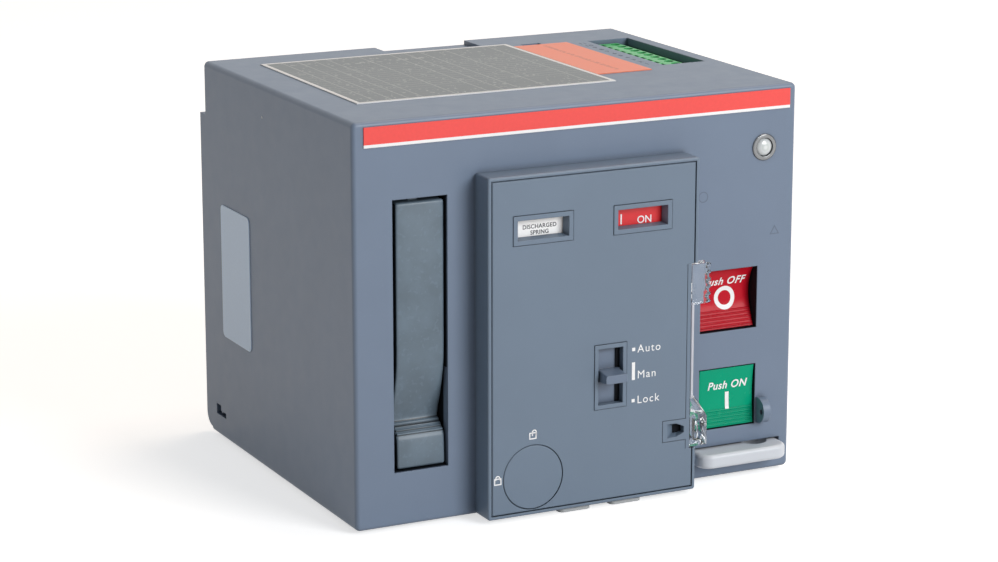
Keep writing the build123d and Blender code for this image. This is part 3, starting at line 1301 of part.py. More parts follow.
pole_ys = [terminal_y + (i - (terminal_poles - 1) / 2) * terminal_pitch for i in range(terminal_poles)]
entry_x = header_left_x + plug_width / 4
entry_half = 1.5
clamp_x = header_right_x - plug_width / 4
clamp_screw_radius = 1.35
clamp_screw_drop = 2.6
with BuildPart() as terminal_plug:
    block((header_left_x, header_right_x), terminal_span, (plug_low_z, plug_top_z))
    chamfer(terminal_plug.faces().sort_by(Axis.Z)[-1].edges().filter_by(Axis.Y), 0.6)
    for y in pole_ys:
        block((entry_x - entry_half, entry_x + entry_half), (y - entry_half, y + entry_half),
              (plug_top_z - 4.0, plug_top_z + 1), Mode.SUBTRACT)
        rod_z(plug_top_z - clamp_screw_drop, plug_top_z + 1, clamp_x, y, clamp_screw_radius + fit_gap,
              Mode.SUBTRACT)
terminal_plug.part.label = "terminal_plug"
export_step(terminal_plug.part, "parts/terminal_plug.step")

with BuildPart() as terminal_screws:
    for y in pole_ys:
        rod_z(plug_top_z - clamp_screw_drop, plug_top_z - 1.0, clamp_x, y, clamp_screw_radius)
        block((clamp_x - clamp_screw_radius, clamp_x + clamp_screw_radius), (y - 0.2, y + 0.2),
              (plug_top_z - 1.5, plug_top_z), Mode.SUBTRACT)
terminal_screws.part.label = "terminal_screws"
export_step(terminal_screws.part, "parts/terminal_screws.step")

# ---------------------------------------------------------------- stripe and labels
stripe_side_inset = (3.4, 2.2)
stripe_drop = 1.4
stripe_height = 5.7
with BuildPart() as front_stripe:
    block((left_x + stripe_side_inset[0], right_x - stripe_side_inset[1]),
          (front_y - label_thickness, front_y),
          (top_z - stripe_drop - stripe_height, top_z - stripe_drop))
front_stripe.part.label = "front_stripe"
export_step(front_stripe.part, "parts/front_stripe.step")

table_label_x = (left_x + 12.7, 24.4)
table_label_y = (behind(25.0), behind(96.0))
orange_label_x = (table_label_x[1] + 0.2, 43.0)
orange_label_y = (behind(37.0), behind(91.0))
side_label_y = (behind(75.5), behind(98.0))
side_label_z = (up(33.2), up(74.0))
with BuildPart() as table_label:
    block(table_label_x, table_label_y, (top_z, top_z + label_thickness))
table_label.part.label = "table_label"
export_step(table_label.part, "parts/table_label.step")

with BuildPart() as orange_label:
    block(orange_label_x, orange_label_y, (top_z, top_z + label_thickness))
orange_label.part.label = "orange_label"
export_step(orange_label.part, "parts/orange_label.step")

with BuildPart() as side_label:
    block((left_x - label_thickness, left_x), side_label_y, side_label_z)
    fillet(side_label.edges().filter_by(Axis.X), 1.8)
side_label.part.label = "side_label"
export_step(side_label.part, "parts/side_label.step")
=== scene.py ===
import json
import math

import bpy
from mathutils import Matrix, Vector


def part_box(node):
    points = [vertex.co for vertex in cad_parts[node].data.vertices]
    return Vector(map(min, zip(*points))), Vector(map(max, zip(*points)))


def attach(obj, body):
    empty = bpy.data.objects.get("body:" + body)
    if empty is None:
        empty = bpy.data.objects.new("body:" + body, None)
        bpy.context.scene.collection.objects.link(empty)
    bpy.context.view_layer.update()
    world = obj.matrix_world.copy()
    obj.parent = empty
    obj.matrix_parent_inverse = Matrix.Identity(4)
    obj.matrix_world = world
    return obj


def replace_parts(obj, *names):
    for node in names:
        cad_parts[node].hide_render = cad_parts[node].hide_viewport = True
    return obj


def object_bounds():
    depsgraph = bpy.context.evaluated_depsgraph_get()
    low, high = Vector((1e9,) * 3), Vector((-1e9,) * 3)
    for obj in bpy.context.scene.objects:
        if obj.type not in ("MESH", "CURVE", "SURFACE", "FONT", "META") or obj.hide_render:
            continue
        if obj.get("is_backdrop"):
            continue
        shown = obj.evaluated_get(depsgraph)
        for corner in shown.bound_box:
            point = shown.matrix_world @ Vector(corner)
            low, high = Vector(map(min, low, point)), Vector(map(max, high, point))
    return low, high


bl_info = {
    "name": "Breaker motor operator looks",
    "version": (1, 0, 0),
    "blender": (4, 5, 0),
    "location": "3D View > Sidebar > Drive Unit",
    "description": "Finishes, lettering and fine parts of a stored-energy operator for a case breaker",
    "category": "Object",
}

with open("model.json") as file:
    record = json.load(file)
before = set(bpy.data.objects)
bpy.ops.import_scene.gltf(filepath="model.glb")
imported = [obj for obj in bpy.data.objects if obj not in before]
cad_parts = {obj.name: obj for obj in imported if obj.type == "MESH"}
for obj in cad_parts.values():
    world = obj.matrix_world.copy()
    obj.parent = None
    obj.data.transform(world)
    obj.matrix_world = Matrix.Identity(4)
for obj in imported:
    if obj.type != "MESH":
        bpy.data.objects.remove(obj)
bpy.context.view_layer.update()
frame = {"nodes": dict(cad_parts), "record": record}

MM = 0.001
INK = 0.03 * MM              # how far printing stands off what it is printed on
PLASTIC_IOR = 1.49           # refraction of clear mouldings
CAP_SHARE = 0.69             # height of a capital letter in the built-in font, as a share of its size
FACING_FRONT = (math.pi / 2, 0, 0)
FACING_UP = (0, 0, 0)
FACING_SIDE = (0, math.pi / 2, 0)

# The lever's front from top to bottom: height above the base and depth behind the face, in millimetres
LEVER_PROFILE = ((91.9, 1.0), (50.0, 1.0), (46.0, 1.15), (42.5, 1.7), (39.0, 2.55), (36.0, 3.45),
                 (33.0, 4.5), (30.5, 5.35), (29.0, 5.6), (25.4, 1.6), (24.2, 1.25), (21.0, 1.1), (16.2, 1.2))
GRIP_START = 25.2            # height above the base where the grip's ribs and the painted shade of its grooves start
TABLE_COLUMNS = (-51, -46, -41, -36.5, -26, -16, -11, -6, 2.5, 17)
TABLE_TOP_ROW = 39.0         # depths behind the face of the table label's parts
TABLE_LAST_ROW = 79.3
TABLE_TITLE = 85.0

# ---------------------------------------------------------------- places read from the frame
face_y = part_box("front_stripe")[1].y
panel_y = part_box("panel_plate")[0].y
base_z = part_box("housing_cover")[0].z
top_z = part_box("housing_cover")[1].z
left_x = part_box("housing_cover")[0].x


def middle(node):
    """The centre of a CAD node's box."""
    low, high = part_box(node)
    return (low + high) / 2


def behind(depth):
    """Y of a depth in millimetres behind the front face."""
    return face_y + depth * MM


def up(height):
    """Z of a height in millimetres above the housing's base."""
    return base_z + height * MM


# ---------------------------------------------------------------- settings a user would change
def linear(code):
    """The linear colour of a six-digit hexadecimal one."""
    shares = [int(code[i:i + 2], 16) / 255 for i in (0, 2, 4)]
    return [s / 12.92 if s <= 0.04045 else ((s + 0.055) / 1.055) ** 2.4 for s in shares]


def colour(name, code):
    """A colour setting with its default as a hexadecimal code."""
    return bpy.props.FloatVectorProperty(name=name, description=f"Colour of the {name.lower()}",
                                         subtype="COLOR", size=3, min=0, max=1, default=linear(code))


def length(name, description, millimetres):
    """A length setting with its default in millimetres."""
    return bpy.props.FloatProperty(name=name, description=description, subtype="DISTANCE", unit="LENGTH",
                                   min=0, default=millimetres * MM)


class UnitColours(bpy.types.PropertyGroup):
    """Colours of the mouldings, prints and metals."""
    housing: colour("Housing", "6B7B91")
    panel: colour("Raised panel", "67788B")
    lever: colour("Charging lever", "5D6E7C")
    dark: colour("Dark inner mouldings", "1C2024")
    stripe: colour("Front stripe", "EE4A46")
    off_cap: colour("Off button", "C01428")
    on_cap: colour("On button", "00A07A")
    padlock_slide: colour("Padlock slide", "CBD1DA")
    table: colour("Table label", "70777A")
    orange: colour("Orange label", "F08462")
    side_label: colour("Side label", "CBE2FC")
    plug: colour("Terminal plug", "3FB565")
    ink: colour("Light printing", "F2F3F5")
    dark_ink: colour("Dark printing", "2B313B")
    flag: colour("Spring flag", "FFFFFF")
    flag_charged: colour("Spring flag when charged", "E2B21B")
    status_red: colour("Status flag when on", "DC1C26")
    steel: colour("Plated steel", "B4B7BA")
    spring: colour("Spring wire", "8A8D92")
    brass: colour("Brass", "C9A25A")
    board: colour("Circuit board", "0F5A38")
    gear: colour("Gear plastic", "DCD9CC")
    tape: colour("Winding tape", "C98A2B")
    foot: colour("Foot pads", "D5D9DC")


class UnitSizes(bpy.types.PropertyGroup):
    """Sizes of the lettering and of the fine marks."""
    word_height: length("Selector words", "Height of the capitals beside the selector", 2.15)
    push_height: length("Push words", "Height of the capitals on the push buttons", 2.25)
    flag_height: length("Flag words", "Height of the capitals on the status flag", 2.3)
    spring_height: length("Spring words", "Height of the capitals on the spring flag", 1.15)
    number_height: length("Terminal numbers", "Height of the numbers beside the terminals", 2.0)
    outline: length("Label outline", "Width of the pale outline of the table label", 1.3)
    white_line: length("Stripe edge", "Width of the white line under the front stripe", 0.85)
    edge: length("Edge rounding", "Radius that the light sees on moulded edges", 0.35)
    text_slant: bpy.props.FloatProperty(name="Push words slant", min=0, max=1, default=0.22,
                                        description="Slant of the words on the buttons")


class StageSettings(bpy.types.PropertyGroup):
    """Settings of the floor, the lamps and the camera."""
    azimuth: bpy.props.FloatProperty(name="Camera azimuth", description="Degrees round from the front",
                                     default=-26.51)
    elevation: bpy.props.FloatProperty(name="Camera elevation", description="Degrees above level",
                                       default=13.97)
    distance: length("Camera distance", "From the aim point", 898.0)
    lens: bpy.props.FloatProperty(name="Lens", description="Focal length in millimetres on a 36 mm sensor",
                                  default=108.4)
    aim: bpy.props.FloatVectorProperty(name="Aim", description="Aim point from the middle of the unit",
                                       subtype="TRANSLATION", unit="LENGTH", size=3,
                                       default=(1.1 * MM, 3.0 * MM, -5.2 * MM))
    key: bpy.props.FloatProperty(name="Key lamp", description="Watts of the lamp in front",
                                 default=15.0)
    overhead: bpy.props.FloatProperty(name="Overhead lamp", description="Watts of the lamp above",
                                      default=7.5)
    overhead_tint: bpy.props.FloatVectorProperty(name="Overhead tint", subtype="COLOR", size=3, min=0,
                                                 max=1, default=(1.0, 0.82, 0.65),
                                                 description="Colour of the lamp above")
    ambient: bpy.props.FloatProperty(name="Ambient", default=0.2,
                                     description="Strength of the world's diffuse light")
    floor_radius: length("Floor radius", "Radius of the round floor", 6000.0)


def colours():
    """The colours as they are set in the scene."""
    return bpy.context.scene.unit_colours


def sizes():
    """The sizes as they are set in the scene."""
    return bpy.context.scene.unit_sizes


# ---------------------------------------------------------------- shader building
class Signal:
    """A shader socket that arithmetic extends with Math nodes."""

    def __init__(self, finish, socket):
        self.finish = finish
        self.socket = socket

    def maths(self, operation, *values):
        """A Math node on values or signals, in their order."""
        node = self.finish.node("ShaderNodeMath", {"operation": operation}, dict(enumerate(values)))
        return Signal(self.finish, node.outputs[0])

    def __add__(self, other):
        return self.maths("ADD", self, other)

    def __radd__(self, other):
        return self.maths("ADD", other, self)

    def __sub__(self, other):
        return self.maths("SUBTRACT", self, other)

    def __rsub__(self, other):
        return self.maths("SUBTRACT", other, self)

    def __mul__(self, other):
        return self.maths("MULTIPLY", self, other)

    def __rmul__(self, other):
        return self.maths("MULTIPLY", other, self)

    def __gt__(self, other):
        return self.maths("GREATER_THAN", self, other)

    def __lt__(self, other):
        return self.maths("LESS_THAN", self, other)

    def __abs__(self):
        return self.maths("ABSOLUTE", self)

    def __mod__(self, other):
        return self.maths("FLOORED_MODULO", self, other)

    def smaller(self, other):
        return self.maths("MINIMUM", self, other)

    def larger(self, other):
        return self.maths("MAXIMUM", self, other)

    def root(self):
        return self.maths("SQRT", self)


class Finish:
    """A material whose nodes are added by kind, settings and sockets."""

    def __init__(self, name):
        self.material = bpy.data.materials.new(name)
        self.material.use_nodes = True
        self.tree = self.material.node_tree
        self.tree.nodes.clear()
        self.shader = self.node("ShaderNodeBsdfPrincipled")
        self.node("ShaderNodeOutputMaterial", {}, {"Surface": self.out(self.shader)})
        self.place = self.out(self.node("ShaderNodeTexCoord"), "Object")

    def node(self, kind, settings=None, inputs=None):
        """A new node with its settings made first and then its sockets given values or links."""
        node = self.tree.nodes.new(kind)
        for name, value in (settings or {}).items():
            if name == "stops":
                for stop, (position, shade) in zip(node.color_ramp.elements, value):
                    stop.position = position
                    stop.color = (*shade, 1)
            else:
                setattr(node, name, value)
        for name, value in (inputs or {}).items():
            self.feed(node.inputs[name], value)
        return node

    def feed(self, socket, value):
        """Links a signal to a socket, or gives the socket a plain value."""
        if isinstance(value, Signal):
            self.tree.links.new(value.socket, socket)
        elif socket.type == "RGBA":
            socket.default_value = (*value[:3], 1)
        else:
            socket.default_value = value

    def out(self, node, output=0):
        """A node's output as a signal."""
        return Signal(self, node.outputs[output])

    def surface(self, **values):
        """Values or signals for the principled shader, named in lower case with underscores."""
        for name, value in values.items():
            words = {"ior": "IOR", "specular_ior_level": "Specular IOR Level"}
            self.feed(self.shader.inputs[words.get(name, name.replace("_", " ").title())], value)
        return self

    def noise(self, size, detail=2.0, stretch=(1, 1, 1)):
        """Noise from 0 to 1 whose patches are about this size in metres."""
        scaled = self.node("ShaderNodeVectorMath", {"operation": "MULTIPLY"}, {0: self.place, 1: stretch})
        texture = self.node("ShaderNodeTexNoise", {}, {"Vector": self.out(scaled), "Scale": 1 / size,
                                                       "Detail": detail})
        return self.out(texture)

    def specks(self, size, share):
        """1 on small scattered specks and 0 elsewhere."""
        cells = self.node("ShaderNodeTexVoronoi", {}, {"Vector": self.place, "Scale": 1 / size})
        return self.out(cells, "Distance") < share

    def axis(self, letter):
        """Where a point lies along X, Y or Z."""
        split = self.node("ShaderNodeSeparateXYZ", {}, {0: self.place})
        return self.out(split, letter)

    def spread(self, signal, low, high):
        """The signal remapped from 0..1 to low..high."""
        return signal * (high - low) + low

    def mix(self, share, first, second):
        """The first colour where the share is 0 and the second where it is 1."""
        node = self.node("ShaderNodeMix", {"data_type": "RGBA"}, {0: share, 6: first, 7: second})
        return self.out(node, 2)

    def grain(self, size, depth, radius):
        """A normal with a fine moulded grain on edges that the light sees rounded."""
        rounded = self.node("ShaderNodeBevel", {"samples": 4}, {"Radius": radius})
        bump = self.node("ShaderNodeBump", {}, {"Strength": 1.0, "Distance": depth,
                                                "Height": self.noise(size, 3.0),
                                                "Normal": self.out(rounded)})
        return self.out(bump)

    def open_air(self, reach):
        """1 on open surfaces, falling towards 0 in narrow gaps and inner corners: the mask of painted shade.
        """
        occlusion = self.node("ShaderNodeAmbientOcclusion", {"samples": 6}, {"Distance": reach})
        return self.out(occlusion, "AO")

    def wear_and_highlight_edges(self, radius):
        """1 on sharp edges and 0 on flats, from how far rounding turns the surface: the mask of edge wear
        and painted edge highlight.
        """
        rounded = self.node("ShaderNodeBevel", {"samples": 4}, {"Radius": radius})
        plain = self.node("ShaderNodeNewGeometry")
        turn = self.node("ShaderNodeVectorMath", {"operation": "DOT_PRODUCT"},
                         {0: self.out(rounded), 1: self.out(plain, "Normal")})
        return (1 - self.out(turn, "Value")) * 4.0


def shade(tint, factor):
    """A colour made lighter or darker."""
    return tuple(min(1.0, value * factor) for value in tint)


def moulded(name, tint, roughness=0.42, mottle=0.05, edge_wear_and_highlight=0.35):
    """Injection moulded plastic: a fine spark-eroded grain, faint mottling, specks, paler edges that are
    partly wear and partly painted highlight, and painted shade in gaps and inner corners.
    """
    finish = Finish(name)
    clouds = finish.noise(14 * MM, 4.0)
    base = finish.mix(clouds, shade(tint, 1 - mottle), shade(tint, 1 + mottle))
    speckled = finish.mix(finish.specks(2.6 * MM, share=0.06) * 0.25, base, shade(tint, 1.5))
    # Paler edges: partly wear, partly painted highlight where rounded edges would catch light.
    edges = finish.wear_and_highlight_edges(sizes().edge)
    worn_and_highlit = finish.mix(edges * edge_wear_and_highlight, speckled, shade(tint, 1.45))
    # Painted shade: gaps and inner corners are darkened towards 0.3 of the colour.
    painted_gap_shade = shade(tint, 0.3)
    finish.surface(base_color=finish.mix(finish.open_air(2.0 * MM), painted_gap_shade, worn_and_highlit),
                   roughness=finish.spread(finish.noise(5 * MM, 3.0), roughness - 0.06, roughness + 0.06),
                   specular_ior_level=0.5, normal=finish.grain(0.35 * MM, 0.012 * MM, sizes().edge))
    return finish.material


def glossy(name, tint):
    """Polished plastic with faint flow marks and painted shade in its gaps."""
    finish = Finish(name)
    flow = finish.noise(9 * MM, 2.0, stretch=(1, 1, 0.25))
    streaked = finish.mix(flow, shade(tint, 0.97), shade(tint, 1.03))
    # Painted shade: gaps are darkened towards 0.3 of the colour.
    painted_gap_shade = shade(tint, 0.3)
    finish.surface(base_color=finish.mix(finish.open_air(1.6 * MM), painted_gap_shade, streaked),
                   roughness=finish.spread(finish.noise(3 * MM), 0.19, 0.32), specular_ior_level=0.12,
                   normal=finish.grain(1.2 * MM, 0.006 * MM, sizes().edge))
    return finish.material


def metal(name, tint, roughness=0.32, metallic=1.0):
    """Plated or drawn metal with fine scratches and faint stains."""
    finish = Finish(name)
    streaks = finish.noise(0.9 * MM, 4.0)
    stains = finish.noise(11 * MM, 3.0)
    finish.surface(base_color=finish.mix(stains, shade(tint, 0.86), shade(tint, 1.08)), metallic=metallic,
                   roughness=finish.spread(streaks, roughness - 0.1, roughness + 0.14),
                   normal=finish.grain(0.5 * MM, 0.008 * MM, sizes().edge))
    return finish.material


def blotched(name, tint):
    """Satin plastic handled bare: cloudy patches, fine pale scuffs, rubbed edges that also carry painted
    highlight, painted shade in the grip's grooves and painted shade on the lever's sides.
    """
    finish = Finish(name)
    clouds = finish.noise(7 * MM, 5.0)
    stops = ((0.35, (0, 0, 0)), (0.68, (1, 1, 1)))
    patches = finish.node("ShaderNodeValToRGB", {"stops": stops}, {"Fac": clouds})
    scuffs = (finish.noise(1.4 * MM, 3.0) > 0.62) * 0.35
    base = finish.mix(finish.out(patches), shade(tint, 0.9), shade(tint, 1.12))
    scuffed = finish.mix(scuffs, base, shade(tint, 1.3))
    # Paler edges: partly rubbing, partly painted highlight where rounded edges would catch light.
    edges = finish.wear_and_highlight_edges(sizes().edge)
    rubbed_and_highlit = finish.mix(edges * 0.4, scuffed, shade(tint, 1.5))
    # Painted shade: the faces that look to either side, into the slot, are darkened nearly to black.
    normal = finish.out(finish.node("ShaderNodeNewGeometry"), "Normal")
    facing = finish.node("ShaderNodeSeparateXYZ", {}, {0: normal})
    painted_flank_shade = abs(finish.out(facing, "X")) > 0.8
    # Painted shade: dark lines between the grip's ribs, on its front only.
    pitch, groove_width, ribbed_height = 1.05, 0.34, 4.2
    height = (finish.axis("Z") - up(GRIP_START)) * (1 / MM)
    painted_groove_shade = abs(height % pitch - 0.5) < groove_width / 2
    painted_groove_shade = painted_groove_shade * (height > 0.0) * (height < ribbed_height)
    front = finish.axis("Y") < behind(7.5)
    shaded = finish.mix(painted_groove_shade * front * 0.85, rubbed_and_highlit, shade(tint, 0.1))
    finish.surface(base_color=finish.mix(painted_flank_shade * 0.9, shaded, shade(tint, 0.08)),
                   roughness=finish.spread(clouds, 0.3, 0.46),
                   normal=finish.grain(0.6 * MM, 0.014 * MM, sizes().edge))
    return finish.material


def table_film(name, tint):
    """A printed table: a pale outline, ruled rows and columns, and rows of small illegible entries."""
    finish = Finish(name)
    low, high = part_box("table_label")
    across, along = finish.axis("X"), finish.axis("Y")
    margin = (across - low.x).smaller(high.x - across).smaller(along - low.y).smaller(high.y - along)
    outline = margin < sizes().outline
    columns = 0
    for place in TABLE_COLUMNS:
        columns = (abs(across - place * MM) < 0.16 * MM) + columns
    pitch = 3.1 * MM
    from_middle = abs((along - behind(TABLE_TOP_ROW)) % pitch - pitch / 2)
    rows = from_middle > 0.5 * pitch - 0.12 * MM
    rows = rows * (along > behind(TABLE_TOP_ROW)) * (along < behind(TABLE_LAST_ROW))
    ruled = (columns + rows).smaller(1.0)
    entries = (finish.noise(1.1 * MM, 2.0, stretch=(1, 0.35, 1)) > 0.62) * (from_middle < 0.75 * MM)
    entries = entries * (margin > 2.4 * MM)
    title = (abs(along - behind(TABLE_TITLE)) < 1.2 * MM) * (abs(across + 22 * MM) < 14 * MM)
    title = title * (finish.noise(1.6 * MM, 2.0, stretch=(1, 0.5, 1)) > 0.5)
    tooth = finish.noise(0.9 * MM, 2.0)
    base = finish.mix(tooth, shade(tint, 0.96), shade(tint, 1.03))
    marked = finish.mix(ruled * 0.22, base, colours().ink)
    small_print = (entries + title).smaller(1.0)
    marked = finish.mix(small_print * 0.2, marked, colours().ink)
    finish.surface(base_color=finish.mix(outline * 0.85, marked, colours().ink),
                   roughness=finish.spread(tooth, 0.4, 0.5))
    return finish.material


def orange_film(name, tint):
    """An orange strip with a darker line of small illegible print along its middle."""
    finish = Finish(name)
    low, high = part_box("orange_label")
    across, along = finish.axis("X"), finish.axis("Y")
    line_x, line_half, front_end, rear_end = 33.7 * MM, 0.75 * MM, 4 * MM, 3 * MM
    line = (abs(across - line_x) < line_half) * (along > low.y + front_end) * (along < high.y - rear_end)
    print_marks = (finish.noise(1.0 * MM, 2.0, stretch=(0.3, 1, 1)) > 0.46) * line
    tooth = finish.noise(0.9 * MM, 2.0)
    base = finish.mix(tooth, shade(tint, 0.96), shade(tint, 1.03))
    finish.surface(base_color=finish.mix(print_marks * 0.5, base, shade(tint, 0.45)),
                   roughness=finish.spread(tooth, 0.36, 0.46))
    return finish.material


def printed(name, tint, roughness=0.5):
    """Ink or a printed film: nearly even, with a faint screen-print tooth."""
    finish = Finish(name)
    tooth = finish.noise(0.8 * MM, 2.0)
    finish.surface(base_color=finish.mix(tooth, shade(tint, 0.96), shade(tint, 1.03)),
                   roughness=finish.spread(tooth, roughness - 0.05, roughness + 0.05))
    return finish.material


def clear_plastic(name):
    """Clear polycarbonate with faint moulding ripples."""
    finish = Finish(name)
    ripples = finish.node("ShaderNodeBump", {}, {"Strength": 1.0, "Distance": 0.02 * MM,
                                                 "Height": finish.noise(2.5 * MM, 2.0)})
    finish.surface(base_color=(0.96, 0.98, 1.0), roughness=0.04, ior=PLASTIC_IOR,
                   transmission_weight=1.0, normal=finish.out(ripples))
    return finish.material


def painted_shadow_black():
    """Deep shadow black for the walls of narrow gaps, with a trace of sheen."""
    finish = Finish("painted_shadow_black")
    cloud = finish.noise(4 * MM)
    finish.surface(base_color=finish.mix(cloud, (0.003, 0.004, 0.006), (0.008, 0.01, 0.014)), roughness=0.6,
                   specular_ior_level=0.1)
    return finish.material


def edge_highlight_finish(name, tint):
    """Painted highlight: a pale, partly clear finish for the light that the shutter's polished edge gathers.
    """
    finish = Finish(name)
    cloud = finish.noise(3 * MM, 2.0, stretch=(1, 1, 0.2))
    finish.surface(base_color=finish.mix(cloud, shade(tint, 0.85), shade(tint, 1.1)),
                   roughness=finish.spread(cloud, 0.12, 0.25), transmission_weight=0.35, ior=PLASTIC_IOR)
    return finish.material


def lamp_glass(name):
    """A milky lamp dome with faint facets: painted shading, lighter in its middle and darker towards its
    rim, and a darker, greener ring round its heart.
    """
    finish = Finish(name)
    ring = middle("lamp_ring")
    across, rise = finish.axis("X") - ring.x, finish.axis("Z") - ring.z
    glass_radius = 2.6 * MM
    distance = (across * across + rise * rise).root() * (1 / glass_radius)
    heart = (abs(distance - 0.35) < 0.12) * 0.35
    # Painted shading: the dome is lighter in its middle and darker towards its rim.
    base = finish.mix(distance, (0.72, 0.76, 0.77), (0.52, 0.56, 0.58))
    finish.surface(base_color=finish.mix(heart, base, (0.42, 0.5, 0.48)), roughness=0.08,
                   normal=finish.grain(1.4 * MM, 0.03 * MM, sizes().edge), coat_weight=0.5)
    return finish.material


def stripe_film(name):
    """The red stripe with the white line along its lower edge."""
    finish = Finish(name)
    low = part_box("front_stripe")[0]
    line = finish.axis("Z") < low.z + sizes().white_line
    tooth = finish.noise(0.9 * MM, 2.0)
    red = finish.mix(tooth, shade(colours().stripe, 0.95), shade(colours().stripe, 1.05))
    finish.surface(base_color=finish.mix(line, red, colours().ink),
                   roughness=finish.spread(tooth, 0.34, 0.44))
    return finish.material


def two_state(name, node, lower, upper):
    """A flag plate whose lower half shows one state and whose upper half shows the other."""
    finish = Finish(name)
    low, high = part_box(node)
    raised = finish.axis("Z") > (low.z + high.z) / 2
    tooth = finish.noise(0.7 * MM)
    base = finish.mix(raised, lower, upper)
    finish.surface(base_color=finish.mix(tooth * 0.06, base, (0, 0, 0)),
                   roughness=finish.spread(tooth, 0.3, 0.4))
    return finish.material


def wound_tape(name, tint):
    """A coil former wrapped in tape, with the turns of wire showing as rings through it."""
    finish = Finish(name)
    pitch = 0.9 * MM
    ring = abs(finish.axis("Y") % pitch - pitch / 2) * (2 / pitch)
    finish.surface(base_color=finish.mix(ring, shade(tint, 0.6), tint), roughness=0.38,
                   normal=finish.grain(2.0 * MM, 0.02 * MM, sizes().edge))
    return finish.material


# ---------------------------------------------------------------- modelling by operators
def clear_selection():
    """Object mode with nothing selected."""
    if bpy.context.object and bpy.context.object.mode != "OBJECT":
        bpy.ops.object.mode_set(mode="OBJECT")
    bpy.ops.object.select_all(action="DESELECT")


def use(piece):
    """Makes a piece the only selected one and the active one."""
    clear_selection()
    piece.select_set(True)
    bpy.context.view_layer.objects.active = piece
    return piece


def settle():
    """Applies the active piece's place, turn and scale to its mesh."""
    bpy.ops.object.transform_apply(location=True, rotation=True, scale=True)


def started(name):
    """Names the active piece that a primitive operator has just added, and applies its place."""
    piece = bpy.context.object
    piece.name = name
    piece.data.name = name
    settle()
    return piece


def add_block(name, low, high):
    """A cube stretched between two corners."""
    clear_selection()
    low, high = Vector(low), Vector(high)
    bpy.ops.mesh.primitive_cube_add(size=1, location=(low + high) / 2, scale=high - low)
    return started(name)


def add_disc(name, place, radius, thickness, vertices):
    """A short cylinder whose axis lies along X."""
    clear_selection()
    bpy.ops.mesh.primitive_cylinder_add(vertices=vertices, radius=radius, depth=thickness,
                                        location=place, rotation=FACING_SIDE)
    return started(name)


def pick(piece, kind, test):
    """Edit mode with only those vertices, edges or faces selected whose middle passes the test."""
    use(piece)
    mesh = piece.data
    kinds = {"VERT": mesh.vertices, "EDGE": mesh.edges, "FACE": mesh.polygons}
    bpy.context.tool_settings.mesh_select_mode = [kind == name for name in kinds]
    for group in kinds.values():
        for item in group:
            item.select = False
    for item in kinds[kind]:
        corners = [mesh.vertices[i].co for i in item.vertices] if kind != "VERT" else [item.co]
        item.select = test(sum(corners, Vector()) / len(corners), item)
    bpy.ops.object.mode_set(mode="EDIT")


def leave():
    """Back to object mode."""
    bpy.ops.object.mode_set(mode="OBJECT")


def modify(piece, kind, **settings):
    """Adds a modifier to a piece and applies it."""
    use(piece)
    modifier = piece.modifiers.new(kind.title(), kind)
    for name, value in settings.items():
        setattr(modifier, name, value)
    bpy.ops.object.modifier_apply(modifier=modifier.name)


def round_edges(piece, width, segments=3, angle=35):
    """Bevels the sharp edges and shades the piece smooth."""
    modify(piece, "BEVEL", width=width, segments=segments, limit_method="ANGLE",
           angle_limit=math.radians(angle), harden_normals=False)
    use(piece)
    bpy.ops.object.shade_smooth_by_angle(angle=math.radians(angle))


def join(name, pieces):
    """Several pieces as one."""
    clear_selection()
    for piece in pieces:
        piece.select_set(True)
    bpy.context.view_layer.objects.active = pieces[0]
    bpy.ops.object.join()
    pieces[0].name = name
    return pieces[0]


def fit_out(piece, finish, body):
    """Gives a finished piece its material and its body."""
    piece.data.materials.clear()
    piece.data.materials.append(finish)
    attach(piece, body)
    return piece


def dress(finish, *nodes):
    """Puts a material on the slots of CAD nodes."""
    for node in nodes:
        for slot in frame["nodes"][node].material_slots:
            slot.material = finish


def joint_place(name):
    """Where a joint's axis lies at rest."""
    joints = {joint["name"]: joint for joint in frame["record"]["behaviour"]["joints"]}
    return Vector(joints[name]["pos_m"])


def copy_of(node, name):
    """A merged copy of a CAD node's mesh, with flat faces made whole, to be shaped further."""
    clear_selection()
    piece = bpy.data.objects.new(name, frame["nodes"][node].data.copy())
    bpy.context.scene.collection.objects.link(piece)
    use(piece)
    bpy.ops.object.mode_set(mode="EDIT")
    bpy.ops.mesh.select_all(action="SELECT")
    bpy.ops.mesh.remove_doubles(threshold=0.002 * MM)
    bpy.ops.mesh.dissolve_limited(angle_limit=math.radians(1))
    leave()
    return piece


def wrap_on(piece, node):
    """Lays a flat print on a CAD node's curved front."""
    modify(piece, "SHRINKWRAP", target=frame["nodes"][node], wrap_method="PROJECT", use_project_y=True,
           use_positive_direction=True, use_negative_direction=True, offset=INK)


def add_words(name, words, height, place, finish, body, turn=FACING_FRONT, align="CENTER", slant=0.0,
              on=None, spacing=1.0, weight=0.0):
    """Printed words with capitals of a given height, centred on or starting from a place."""
    clear_selection()
    bpy.ops.object.text_add()
    text = bpy.context.object
    text.data.body = words
    text.data.size = height / CAP_SHARE
    text.data.align_x = align
    text.data.align_y = "CENTER"
    text.data.shear = slant
    text.data.space_character = spacing
    text.data.offset = weight
    text.data.resolution_u = 4
    text.data.extrude = 0 if on else INK
    bpy.ops.object.convert(target="MESH")
    text = bpy.context.object
    text.rotation_euler = turn
    text.location = place
    started(name)
    if on:
        wrap_on(text, on)
    return fit_out(text, finish, body)


